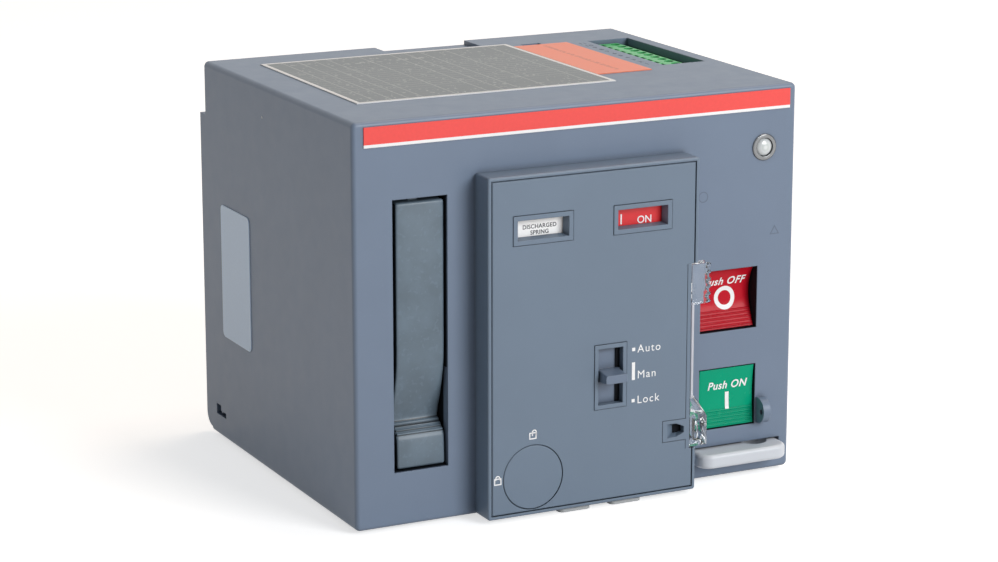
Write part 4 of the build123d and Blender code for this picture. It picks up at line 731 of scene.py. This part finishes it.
def add_ring(name, place, outer, inner, finish, body, on=None):
    """A flat ring that faces the front: printed, or on the shell a darker line of painted shade."""
    clear_selection()
    bpy.ops.mesh.primitive_circle_add(vertices=48, radius=outer, fill_type="NGON", location=place,
                                      rotation=FACING_FRONT)
    ring = started(name)
    pick(ring, "FACE", lambda centre, face: True)
    bpy.ops.mesh.inset(thickness=outer - inner, depth=0)
    bpy.ops.mesh.delete(type="FACE")
    leave()
    if on:
        wrap_on(ring, on)
    else:
        modify(ring, "SOLIDIFY", thickness=2 * INK, offset=0)
    return fit_out(ring, finish, body)


def add_outline(name, centre, width, height, stroke, sides=4):
    """A flat outline that faces the front: a rectangle, or another figure with this many sides."""
    clear_selection()
    bpy.ops.mesh.primitive_circle_add(vertices=sides, radius=1, fill_type="NGON", location=centre,
                                      rotation=FACING_FRONT)
    figure = started(name)
    if sides == 4:
        pick(figure, "VERT", lambda place, vertex: True)
        bpy.ops.transform.rotate(value=math.pi / 4, orient_axis="Y", center_override=centre)
        leave()
    corners = [vertex.co - Vector(centre) for vertex in figure.data.vertices]
    reach_x, reach_z = max(abs(corner.x) for corner in corners), max(abs(corner.z) for corner in corners)
    pick(figure, "VERT", lambda place, vertex: True)
    bpy.ops.transform.resize(value=(width / 2 / reach_x, 1, height / 2 / reach_z), center_override=centre)
    bpy.ops.mesh.select_all(action="SELECT")
    bpy.ops.mesh.inset(thickness=stroke, depth=0)
    bpy.ops.mesh.delete(type="FACE")
    leave()
    modify(figure, "SOLIDIFY", thickness=2 * INK, offset=0)
    return figure


def add_arch(name, place, radius, stroke, leg):
    """A flat half ring that faces the front, with a straight leg under each end."""
    clear_selection()
    bpy.ops.mesh.primitive_circle_add(vertices=24, radius=radius, fill_type="NGON", location=place,
                                      rotation=FACING_FRONT)
    arch = started(name)
    pick(arch, "FACE", lambda centre, face: True)
    bpy.ops.mesh.inset(thickness=stroke, depth=0)
    bpy.ops.mesh.delete(type="FACE")
    leave()
    base, near = place[2], 0.02 * MM
    pick(arch, "FACE", lambda centre, face: centre.z < base - near / 2)
    bpy.ops.mesh.delete(type="FACE")
    leave()
    pick(arch, "EDGE", lambda centre, edge: abs(centre.z - base) < near)
    bpy.ops.mesh.extrude_region_move(TRANSFORM_OT_translate={"value": (0, 0, -leg)})
    leave()
    modify(arch, "SOLIDIFY", thickness=2 * INK, offset=0)
    return arch


def add_shade_sheet(name, low, high, walls, finish):
    """Thin black plates that lie against the named walls of an opening: painted shade in the opening."""
    sheet, gap = 0.1 * MM, 0.02 * MM
    sides = {"left": (0, False), "right": (0, True), "bottom": (2, False), "top": (2, True)}
    plates = []
    for wall in walls:
        axis, at_high = sides[wall]
        first, last = low.copy(), high.copy()
        if at_high:
            first[axis], last[axis] = high[axis] - gap - sheet, high[axis] - gap
        else:
            first[axis], last[axis] = low[axis] + gap, low[axis] + gap + sheet
        plate = add_block(f"{name}_{wall}", first, last)
        round_edges(plate, width=0.03 * MM, segments=1)
        plates.append(plate)
    return fit_out(join(name, plates), finish, "housing")


def add_bar(name, low, high, finish, body, on=None):
    """A printed bar facing the front, between two corners in X and Z at a depth."""
    bar = add_block(name, (low[0], low[1] - INK, low[2]), (high[0], high[1] + INK, high[2]))
    if on:
        pick(bar, "FACE", lambda centre, face: face.normal.y < -0.9)
        bpy.ops.mesh.subdivide(number_cuts=6)
        bpy.ops.mesh.select_all(action="INVERT")
        bpy.ops.mesh.delete(type="ONLY_FACE")
        leave()
        wrap_on(bar, on)
    return fit_out(bar, finish, body)


# ---------------------------------------------------------------- the unit, piece by piece
class DRIVE_OT_shell(bpy.types.Operator):
    """Moulded shell, rear base and the fixings that hold them"""
    bl_idname = "drive_unit.shell"
    bl_label = "Shell"

    def execute(self, context):
        dress(moulded("shell_plastic", colours().housing, edge_wear_and_highlight=0.3), "housing_cover")
        dress(moulded("base_plastic", shade(colours().housing, 0.8)), "rear_base")
        dress(metal("screw_steel", colours().steel), "cover_screws")
        dress(moulded("foot_rubber", colours().foot, roughness=0.6), "foot_pads")
        # The embossed mould marks are drawn as darker lines: painted shade of their relief.
        ink = printed("mould_mark", shade(colours().housing, 0.78))
        ring_place = (39.5 * MM, face_y, up(84.5))
        add_ring("mould_ring", ring_place, outer=1.6 * MM, inner=1.35 * MM, finish=ink, body="housing")
        triangle_place = (63.6 * MM, face_y, up(72.2))
        triangle = add_outline("mould_triangle", triangle_place, width=3.2 * MM, height=3.6 * MM,
                               stroke=0.3 * MM, sides=3)
        fit_out(triangle, ink, "housing")
        pip_place = (left_x, behind(64), up(106.2))
        pip = add_disc("mould_pip", pip_place, radius=0.4 * MM, thickness=0.1 * MM, vertices=24)
        round_edges(pip, width=0.03 * MM)
        fit_out(pip, printed("pip_ink", shade(colours().foot, 0.9)), "housing")
        return {"FINISHED"}


class DRIVE_OT_raised_panel(bpy.types.Operator):
    """Raised panel with its frame, key-lock blank and the padlock marks beside it"""
    bl_idname = "drive_unit.raised_panel"
    bl_label = "Raised panel"

    def execute(self, context):
        panel = moulded("panel_plastic", colours().panel, roughness=0.46, edge_wear_and_highlight=0.25)
        dress(panel, "panel_frame", "panel_plate", "keylock_blank", "seal_insert", "selector_bezel",
              "spring_bezel", "status_bezel")
        dress(moulded("guide_plastic", colours().dark), "flag_guide", "shutter_guide")
        self.add_pocket_shade()
        ink = printed("mark_ink", colours().ink)
        blank = middle("keylock_blank")
        self.add_padlock("locked_mark", blank.x - 11.1 * MM, blank.z + 0.1 * MM, False, ink)
        self.add_padlock("unlocked_mark", blank.x - 0.1 * MM, blank.z + 12.1 * MM, True, ink)
        return {"FINISHED"}

    def add_pocket_shade(self):
        """A black plate behind the mouth of the seal pocket: painted shade inside the pocket."""
        low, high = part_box("seal_insert")
        gap, sheet = 0.05 * MM, 0.2 * MM
        left, right = low.x + 4.0 * MM, high.x - 1.4 * MM
        pocket_shade = add_block("seal_pocket_shade", (left, high.y + gap, up(17.3)),
                            (right, high.y + gap + sheet, up(20.5)))
        round_edges(pocket_shade, width=0.05 * MM)
        fit_out(pocket_shade, painted_shadow_black(), "housing")

    def add_padlock(self, name, x, z, is_open, ink):
        """An outlined padlock: a case, and a shackle that stands open or is closed."""
        width, height, stroke = 2.3 * MM, 2.0 * MM, 0.34 * MM
        shift, leg = (0.45 * MM, 1.0 * MM) if is_open else (0, 0.55 * MM)
        case = add_outline(name, (x, panel_y, z), width, height, stroke)
        shackle = add_arch(name + "_shackle", (x + shift, panel_y, z + height / 2), 0.78 * MM, stroke, leg)
        fit_out(join(name, [case, shackle]), ink, "housing")


class DRIVE_OT_lever(bpy.types.Operator):
    """Charging lever with its bracket, pin and link"""
    bl_idname = "drive_unit.lever"
    bl_label = "Charging lever"

    def execute(self, context):
        finish = blotched("lever_plastic", colours().lever)
        grip = self.add_grip()
        heel = self.add_heel()
        lever = join("lever_grip", [grip, heel] + self.add_ribs())
        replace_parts(fit_out(lever, finish, "lever"), "charging_lever")
        self.add_slot_shade_sheets()
        plated = metal("plated_steel", colours().steel)
        dress(plated, "lever_pin", "charging_link", "clutch_carrier", "left_side_plate",
              "right_side_plate", "gearbox_plate", "gearbox_pillars", "tie_rods", "main_shaft",
              "idler_pin", "guide_rods", "closing_core", "opening_core")
        dress(metal("clutch_steel", colours().spring), "drive_clutch", "charging_cam")
        return {"FINISHED"}

    def add_slot_shade_sheets(self):
        """Painted shade in the lever's slot: black sheets on all its height on the left and on the upper
        part on the right.
        """
        gap = painted_shadow_black()
        # Painted shade: the steel bracket seen through the slot is finished in shadow black.
        dress(gap, "lever_bracket")
        slot_low = Vector((-58.3 * MM, behind(0.7), up(15.6)))
        slot_high = Vector((-41.7 * MM, behind(14.0), up(93.2)))
        add_shade_sheet("slot_shade_sheet", slot_low, slot_high, ("left", "top", "bottom"), gap)
        slot_low.z = up(44.0)
        add_shade_sheet("slot_shade_sheet_right", slot_low, slot_high, ("right",), gap)

    def grip_box(self):
        """The lever's box with its sides moved to where the grip stands in the slot."""
        low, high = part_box("charging_lever")
        low.x, high.x = low.x + 0.5 * MM, high.x + 0.4 * MM
        return low, high

    def add_grip(self):
        """The long handle: a block cut across at each height and its front moved to the profile."""
        low, high = self.grip_box()
        high.y, high.z = behind(11.0), up(LEVER_PROFILE[0][0])
        front_half, near = behind(8.0), 0.05 * MM
        grip = add_block("lever_grip", low, high)
        for height, _ in LEVER_PROFILE[1:-1]:
            use(grip)
            bpy.ops.object.mode_set(mode="EDIT")
            bpy.ops.mesh.select_all(action="SELECT")
            bpy.ops.mesh.bisect(plane_co=(0, 0, up(height)), plane_no=(0, 0, 1))
            leave()
        for height, depth in LEVER_PROFILE:
            level = min(max(up(height), low.z), high.z)
            pick(grip, "VERT", lambda place, vertex: place.y < front_half and abs(place.z - level) < near)
            bpy.ops.transform.translate(value=(0, behind(depth) - low.y, 0))
            leave()
        round_edges(grip, width=0.75 * MM, segments=4, angle=50)
        return grip

    def add_ribs(self):
        """Grip ribs across the slope that rises under the hump."""
        low, high = self.grip_box()
        width = high.x - low.x - 0.6 * MM
        depth, fall_back, height, fall = 5.5, 3.9, 28.9, 3.5
        ribs = []
        for i in range(4):
            share = (i + 0.9) / 4.6
            place = ((low.x + high.x) / 2, behind(depth - share * fall_back), up(height - share * fall))
            rib = add_disc(f"rib_{i}", place, radius=0.42 * MM, thickness=width, vertices=16)
            round_edges(rib, width=0.2 * MM, segments=2)
            ribs.append(rib)
        return ribs

    def add_heel(self):
        """The crank behind the pivot: a disc drawn out to the link's pin."""
        pivot, pin = joint_place("lever_swing"), joint_place("link_turn")
        reach = pin - pivot
        place = (pivot.x - 0.5 * MM, pivot.y, pivot.z)
        heel = add_disc("lever_heel", place, radius=3.3 * MM, thickness=3.0 * MM, vertices=40)
        pick(heel, "VERT", lambda place, vertex: (place - pivot).dot(reach) > 0)
        bpy.ops.transform.translate(value=(0, reach.y, reach.z))
        leave()
        round_edges(heel, width=0.4 * MM)
        return heel


class DRIVE_OT_drive(bpy.types.Operator):
    """Gears, motor, toggle carriage, springs, coils and switches inside the shell"""
    bl_idname = "drive_unit.drive"
    bl_label = "Drive"

    def execute(self, context):
        dress(moulded("gear_plastic", colours().gear, roughness=0.4), "main_gear", "idler_gear")
        dress(metal("brass_bush", colours().brass), "shaft_bushes", "motor_rotor")
        dress(metal("motor_can", colours().dark, roughness=0.4, metallic=0.4), "drive_motor")
        dress(metal("spring_steel", colours().spring), "closing_springs", "button_springs")
        dress(moulded("dark_plastic", colours().dark), "toggle_carriage", "button_guide", "slide_guide",
              "limit_switches")
        dress(wound_tape("coil_tape", colours().tape), "closing_coil", "opening_coil")
        return {"FINISHED"}


class DRIVE_OT_push_buttons(bpy.types.Operator):
    """Off and on buttons with their words and symbols"""
    bl_idname = "drive_unit.push_buttons"
    bl_label = "Push buttons"

    def execute(self, context):
        self.add_window_shade_sheets()
        ink = printed("button_ink", colours().ink)
        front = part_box("off_button")[0].y - 2 * MM
        for body, tint, lift in (("off", colours().off_cap, 4.8), ("on", colours().on_cap, 3.5)):
            node = body + "_button"
            dress(glossy(node + "_plastic", tint), node)
            centre = middle(node)
            place = (centre.x + 0.4 * MM, front, centre.z + lift * MM)
            add_words(node + "_words", "Push " + body.upper(), sizes().push_height, place, ink, body,
                      slant=sizes().text_slant, on=node, spacing=1.08, weight=0.07 * MM)
        centre = middle("off_button")
        ring_place = (centre.x + 0.9 * MM, front, centre.z - 0.2 * MM)
        add_ring("off_ring", ring_place, outer=3.45 * MM, inner=2.15 * MM, finish=ink, body="off",
                 on="off_button")
        centre = middle("on_button")
        bar_low = (centre.x - 0.1 * MM, front, centre.z - 3.7 * MM)
        bar_high = (centre.x + 1.15 * MM, front, centre.z + 1.4 * MM)
        add_bar("on_bar", bar_low, bar_high, ink, "on", on="on_button")
        return {"FINISHED"}

    def add_window_shade_sheets(self):
        """Painted shade: black sheets on the walls of the openings that the two buttons stand in."""
        gap = painted_shadow_black()
        left, right, near, far = 39.1 * MM, 58.1 * MM, behind(0.25), behind(9.0)
        for name, bottom, top in (("off", up(43.9), up(62.3)), ("on", up(14.6), up(33.0))):
            add_shade_sheet(name + "_window_shade_sheet", Vector((left, near, bottom)), Vector((right, far, top)),
                      ("left", "right", "top", "bottom"), gap)


class DRIVE_OT_selector(bpy.types.Operator):
    """Selector knob with its words and marks"""
    bl_idname = "drive_unit.selector"
    bl_label = "Selector"

    def execute(self, context):
        dress(moulded("knob_plastic", shade(colours().housing, 0.92), roughness=0.38), "selector_knob")
        self.add_knob_shade()
        ink = printed("panel_ink", colours().ink)
        mark_left, mark_right, words_left = 12.1 * MM, 13.1 * MM, 13.8 * MM
        for words, height in (("Auto", 44.6), ("Man", 37.0), ("Lock", 29.6)):
            add_words("word_" + words.lower(), words, sizes().word_height * 1.06,
                      (words_left, panel_y, up(height)), ink, "housing", align="LEFT", spacing=1.17)
        for name, low, high in (("auto", 44.2, 45.2), ("man", 35.7, 40.9), ("lock", 29.1, 30.1)):
            add_bar(name + "_mark", (mark_left, panel_y, up(low)), (mark_right, panel_y, up(high)), ink,
                    "housing")
        return {"FINISHED"}

    def add_knob_shade(self):
        """Painted shade: a black strip that shows beside the knob, behind the selector's window."""
        low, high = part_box("selector_bezel")
        plate_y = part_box("panel_plate")[1].y
        left, right, end = high.x - 2.5 * MM, high.x - 1.15 * MM, 1.2 * MM
        knob_shade = add_block("selector_knob_shade", (left, plate_y + 0.02 * MM, low.z + end),
                         (right, plate_y + 0.3 * MM, high.z - end))
        round_edges(knob_shade, width=0.1 * MM)
        fit_out(knob_shade, painted_shadow_black(), "housing")


class DRIVE_OT_indicators(bpy.types.Operator):
    """Spring and status flags with the words of both their states"""
    bl_idname = "drive_unit.indicators"
    bl_label = "Indicators"

    def execute(self, context):
        dress(two_state("spring_flag_film", "spring_flag", colours().flag, colours().flag_charged),
              "spring_flag")
        dress(two_state("status_flag_film", "status_flag", colours().status_red, colours().on_cap),
              "status_flag")
        dark = printed("dark_ink", colours().dark_ink)
        light = printed("flag_ink", colours().ink)
        low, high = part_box("spring_flag")
        rise = high.z - middle("spring_flag").z
        window = middle("spring_bezel")
        x, z, half_line = window.x + 0.3 * MM, window.z - 0.75 * MM, 0.85 * MM
        for name, lift in (("discharged", 0), ("charged", rise)):
            for start, words, above in (("spring_", name.upper(), half_line),
                                        ("spring_word_", "SPRING", -half_line)):
                add_words(start + name, words, sizes().spring_height, (x, low.y, z + lift + above), dark,
                          "spring_indicator", spacing=1.05, weight=0.03 * MM)
        window = middle("status_bezel")
        flag_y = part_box("status_flag")[0].y
        words_x, words_z = window.x + 2.1 * MM, window.z - 1.4 * MM
        sign_x, sign_z = window.x - 5.4 * MM, window.z - 0.8 * MM
        for name, sign, lift in (("on", "I", 0), ("off", "O", rise)):
            add_words("status_" + name, name.upper(), sizes().flag_height * 0.9,
                      (words_x, flag_y, words_z + lift), light, "status_indicator", weight=0.03 * MM)
            add_words("status_sign_" + name, sign, sizes().flag_height * 1.3,
                      (sign_x, flag_y, sign_z + lift), light, "status_indicator")
        return {"FINISHED"}


class DRIVE_OT_shutter(bpy.types.Operator):
    """Clear sealable shutter beside the buttons"""
    bl_idname = "drive_unit.shutter"
    bl_label = "Clear shutter"

    def execute(self, context):
        clear = clear_plastic("shutter_clear")
        sheet = copy_of("clear_shutter", "shutter_sheet")
        round_edges(sheet, width=0.22 * MM, segments=2, angle=40)
        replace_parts(fit_out(sheet, clear, "shutter"), "clear_shutter")
        low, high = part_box("clear_shutter")
        # Painted highlight: a pale strip where the shutter's front edge catches the light.
        strip_left, strip_right = high.x - 6.1 * MM, high.x - 5.2 * MM
        highlight_strip = add_block("shutter_highlight_strip", (strip_left, low.y + 0.05 * MM, up(27.5)),
                        (strip_right, low.y + 1.15 * MM, up(56.0)))
        round_edges(highlight_strip, width=0.25 * MM)
        fit_out(highlight_strip, edge_highlight_finish("shutter_edge_highlight", (0.78, 0.8, 0.88)), "shutter")
        return {"FINISHED"}


class DRIVE_OT_lamp(bpy.types.Operator):
    """Signal lamp with its ring"""
    bl_idname = "drive_unit.lamp"
    bl_label = "Signal lamp"

    def execute(self, context):
        dress(metal("lamp_ring_metal", shade(colours().steel, 0.45), roughness=0.2), "lamp_ring")
        dome = self.add_dome(Vector((middle("lamp_ring").x, behind(0.6), middle("lamp_ring").z)))
        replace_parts(fit_out(dome, lamp_glass("lamp_dome"), "housing"), "lamp_lens")
        return {"FINISHED"}

    def add_dome(self, centre):
        """A ball pressed to a low dome in front of its middle and to a short foot behind it."""
        clear_selection()
        bpy.ops.mesh.primitive_uv_sphere_add(segments=40, ring_count=20, radius=2.75 * MM,
                                             location=centre, rotation=FACING_FRONT)
        dome = started("lamp_dome")
        near, foot_depth, foot_share, dome_share = 0.01 * MM, 1.2 * MM, 0.05, 0.55
        pick(dome, "VERT", lambda place, vertex: place.y > centre.y + near)
        bpy.ops.transform.resize(value=(1, foot_share, 1), center_override=centre)
        bpy.ops.transform.translate(value=(0, foot_depth, 0))
        leave()
        pick(dome, "VERT", lambda place, vertex: place.y < centre.y - near)
        bpy.ops.transform.resize(value=(1, dome_share, 1), center_override=centre)
        leave()
        use(dome)
        bpy.ops.object.shade_smooth_by_angle(angle=math.radians(40))
        return dome


class DRIVE_OT_padlock_slide(bpy.types.Operator):
    """White slide that takes a padlock"""
    bl_idname = "drive_unit.padlock_slide"
    bl_label = "Padlock slide"

    def execute(self, context):
        dress(moulded("slide_plastic", colours().padlock_slide, roughness=0.36, edge_wear_and_highlight=0.0, mottle=0.02),
              "padlock_slide")
        return {"FINISHED"}


class DRIVE_OT_terminals(bpy.types.Operator):
    """Control board, header and terminal plug with its screws and numbers"""
    bl_idname = "drive_unit.terminals"
    bl_label = "Terminals"

    def execute(self, context):
        dress(moulded("plug_plastic", colours().plug, roughness=0.35, edge_wear_and_highlight=0.5), "terminal_plug")
        dress(moulded("header_plastic", shade(colours().plug, 0.7)), "terminal_header")
        dress(metal("terminal_screw", colours().steel), "terminal_screws")
        dress(glossy("board_varnish", colours().board), "control_board")
        ink = printed("number_ink", shade(colours().dark_ink, 2.4))
        low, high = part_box("terminal_screws")
        poles, numbers_x = 11, 46.8 * MM
        for i in range(poles):
            y = low.y + (high.y - low.y) * (i + 0.5) / poles
            add_words(f"number_{i + 1}", str(i + 1), sizes().number_height, (numbers_x, y, top_z), ink,
                      "housing", turn=FACING_UP)
        return {"FINISHED"}


class DRIVE_OT_labels(bpy.types.Operator):
    """Front stripe, table label, orange label and side label"""
    bl_idname = "drive_unit.labels"
    bl_label = "Labels"

    def execute(self, context):
        dress(stripe_film("stripe_film"), "front_stripe")
        dress(table_film("table_film", colours().table), "table_label")
        dress(orange_film("orange_film", colours().orange), "orange_label")
        dress(printed("side_film", colours().side_label, roughness=0.35), "side_label")
        return {"FINISHED"}


class DRIVE_OT_stage(bpy.types.Operator):
    """Round pale floor, soft lamps, white surroundings and the camera"""
    bl_idname = "drive_unit.stage"
    bl_label = "Stage"

    def execute(self, context):
        settings = context.scene.unit_stage
        low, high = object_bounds()
        self.add_floor(settings, low.z)
        self.add_surroundings(settings)
        centre = (low + high) / 2
        self.add_lamp("key_lamp", settings.key, (1, 1, 1), 0.7, centre, Vector((0.55, -1.25, 0.6)))
        self.add_lamp("overhead_lamp", settings.overhead, settings.overhead_tint, 0.8, centre,
                      Vector((0.5, 0.1, 1.3)))
        self.add_camera(settings, centre)
        context.scene.view_settings.view_transform = "Standard"
        return {"FINISHED"}

    def add_floor(self, settings, height):
        """A round floor that takes shadows and that every ray of sight sees as nearly white."""
        clear_selection()
        bpy.ops.mesh.primitive_circle_add(vertices=96, radius=settings.floor_radius, fill_type="NGON",
                                          location=(0, 0, height))
        floor = started("floor")
        finish = Finish("floor_white")
        path = finish.node("ShaderNodeLightPath")
        seen = finish.out(path, "Is Camera Ray").larger(finish.out(path, "Is Glossy Ray"))
        seen = seen.larger(finish.out(path, "Is Transmission Ray"))
        glow = finish.mix(seen, (0, 0, 0), (1, 1, 1))
        finish.surface(base_color=(0.8, 0.8, 0.8), roughness=0.9, emission_color=glow,
                       emission_strength=0.62)
        floor.data.materials.append(finish.material)
        floor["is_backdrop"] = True

    def add_surroundings(self, settings):
        """A room that is plain white to the eye and dim to the lighting."""
        world = bpy.data.worlds.new("white_room")
        world.use_nodes = True
        bpy.context.scene.world = world
        nodes, links = world.node_tree.nodes, world.node_tree.links
        nodes.clear()
        path = nodes.new("ShaderNodeLightPath")
        shown = nodes.new("ShaderNodeMath")
        shown.operation = "MAXIMUM"
        links.new(path.outputs["Is Camera Ray"], shown.inputs[0])
        links.new(path.outputs["Is Glossy Ray"], shown.inputs[1])
        through = nodes.new("ShaderNodeMath")
        through.operation = "MAXIMUM"
        links.new(shown.outputs[0], through.inputs[0])
        links.new(path.outputs["Is Transmission Ray"], through.inputs[1])
        dim = nodes.new("ShaderNodeBackground")
        dim.inputs["Strength"].default_value = settings.ambient
        white = nodes.new("ShaderNodeBackground")
        white.inputs["Strength"].default_value = 1.0
        for node in (dim, white):
            node.inputs["Color"].default_value = (1, 1, 1, 1)
        choice = nodes.new("ShaderNodeMixShader")
        links.new(through.outputs[0], choice.inputs[0])
        links.new(dim.outputs[0], choice.inputs[1])
        links.new(white.outputs[0], choice.inputs[2])
        links.new(choice.outputs[0], nodes.new("ShaderNodeOutputWorld").inputs["Surface"])

    def add_lamp(self, name, power, tint, size, target, offset):
        """A square lamp at an offset from the point that it lights."""
        clear_selection()
        bpy.ops.object.light_add(type="AREA", radius=size, location=target + offset)
        lamp = bpy.context.object
        lamp.name = name
        lamp.data.energy = power
        lamp.data.color = tint
        lamp.data.size = size
        lamp.rotation_euler = (-offset).to_track_quat("-Z", "Y").to_euler()

    def add_camera(self, settings, centre):
        """The camera at its turn, tilt and distance from the aim point."""
        turn, tilt = math.radians(settings.azimuth), math.radians(settings.elevation)
        back = Vector((math.sin(turn) * math.cos(tilt), -math.cos(turn) * math.cos(tilt), math.sin(tilt)))
        clear_selection()
        bpy.ops.object.camera_add(location=centre + Vector(settings.aim) + back * settings.distance)
        camera = bpy.context.object
        camera.name = "camera"
        camera.data.sensor_width = 36
        camera.data.lens = settings.lens
        camera.rotation_mode = "QUATERNION"
        camera.rotation_quaternion = (-back).to_track_quat("-Z", "Y")
        bpy.context.scene.camera = camera


class DRIVE_PT_panel(bpy.types.Panel):
    """Settings and steps of the drive unit's looks"""
    bl_idname = "DRIVE_PT_panel"
    bl_label = "Drive unit"
    bl_space_type = "VIEW_3D"
    bl_region_type = "UI"
    bl_category = "Drive Unit"

    def draw(self, context):
        for step in STEPS:
            self.layout.operator(step.bl_idname)
        for settings in (context.scene.unit_sizes, context.scene.unit_colours, context.scene.unit_stage):
            column = self.layout.column()
            for name in settings.bl_rna.properties.keys()[2:]:
                column.prop(settings, name)


SETTINGS = (UnitColours, UnitSizes, StageSettings)
STEPS = (DRIVE_OT_shell, DRIVE_OT_raised_panel, DRIVE_OT_lever, DRIVE_OT_drive, DRIVE_OT_push_buttons,
         DRIVE_OT_selector, DRIVE_OT_indicators, DRIVE_OT_shutter, DRIVE_OT_lamp, DRIVE_OT_padlock_slide,
         DRIVE_OT_terminals, DRIVE_OT_labels, DRIVE_OT_stage)


def register():
    for item in SETTINGS + STEPS + (DRIVE_PT_panel,):
        bpy.utils.register_class(item)
    bpy.types.Scene.unit_colours = bpy.props.PointerProperty(type=UnitColours)
    bpy.types.Scene.unit_sizes = bpy.props.PointerProperty(type=UnitSizes)
    bpy.types.Scene.unit_stage = bpy.props.PointerProperty(type=StageSettings)


def unregister():
    for name in ("unit_colours", "unit_sizes", "unit_stage"):
        delattr(bpy.types.Scene, name)
    for item in reversed(SETTINGS + STEPS + (DRIVE_PT_panel,)):
        bpy.utils.unregister_class(item)


def main():
    register()
    for step in STEPS:
        group, name = step.bl_idname.split(".")
        getattr(getattr(bpy.ops, group), name)()


if __name__ == "__main__":
    main()
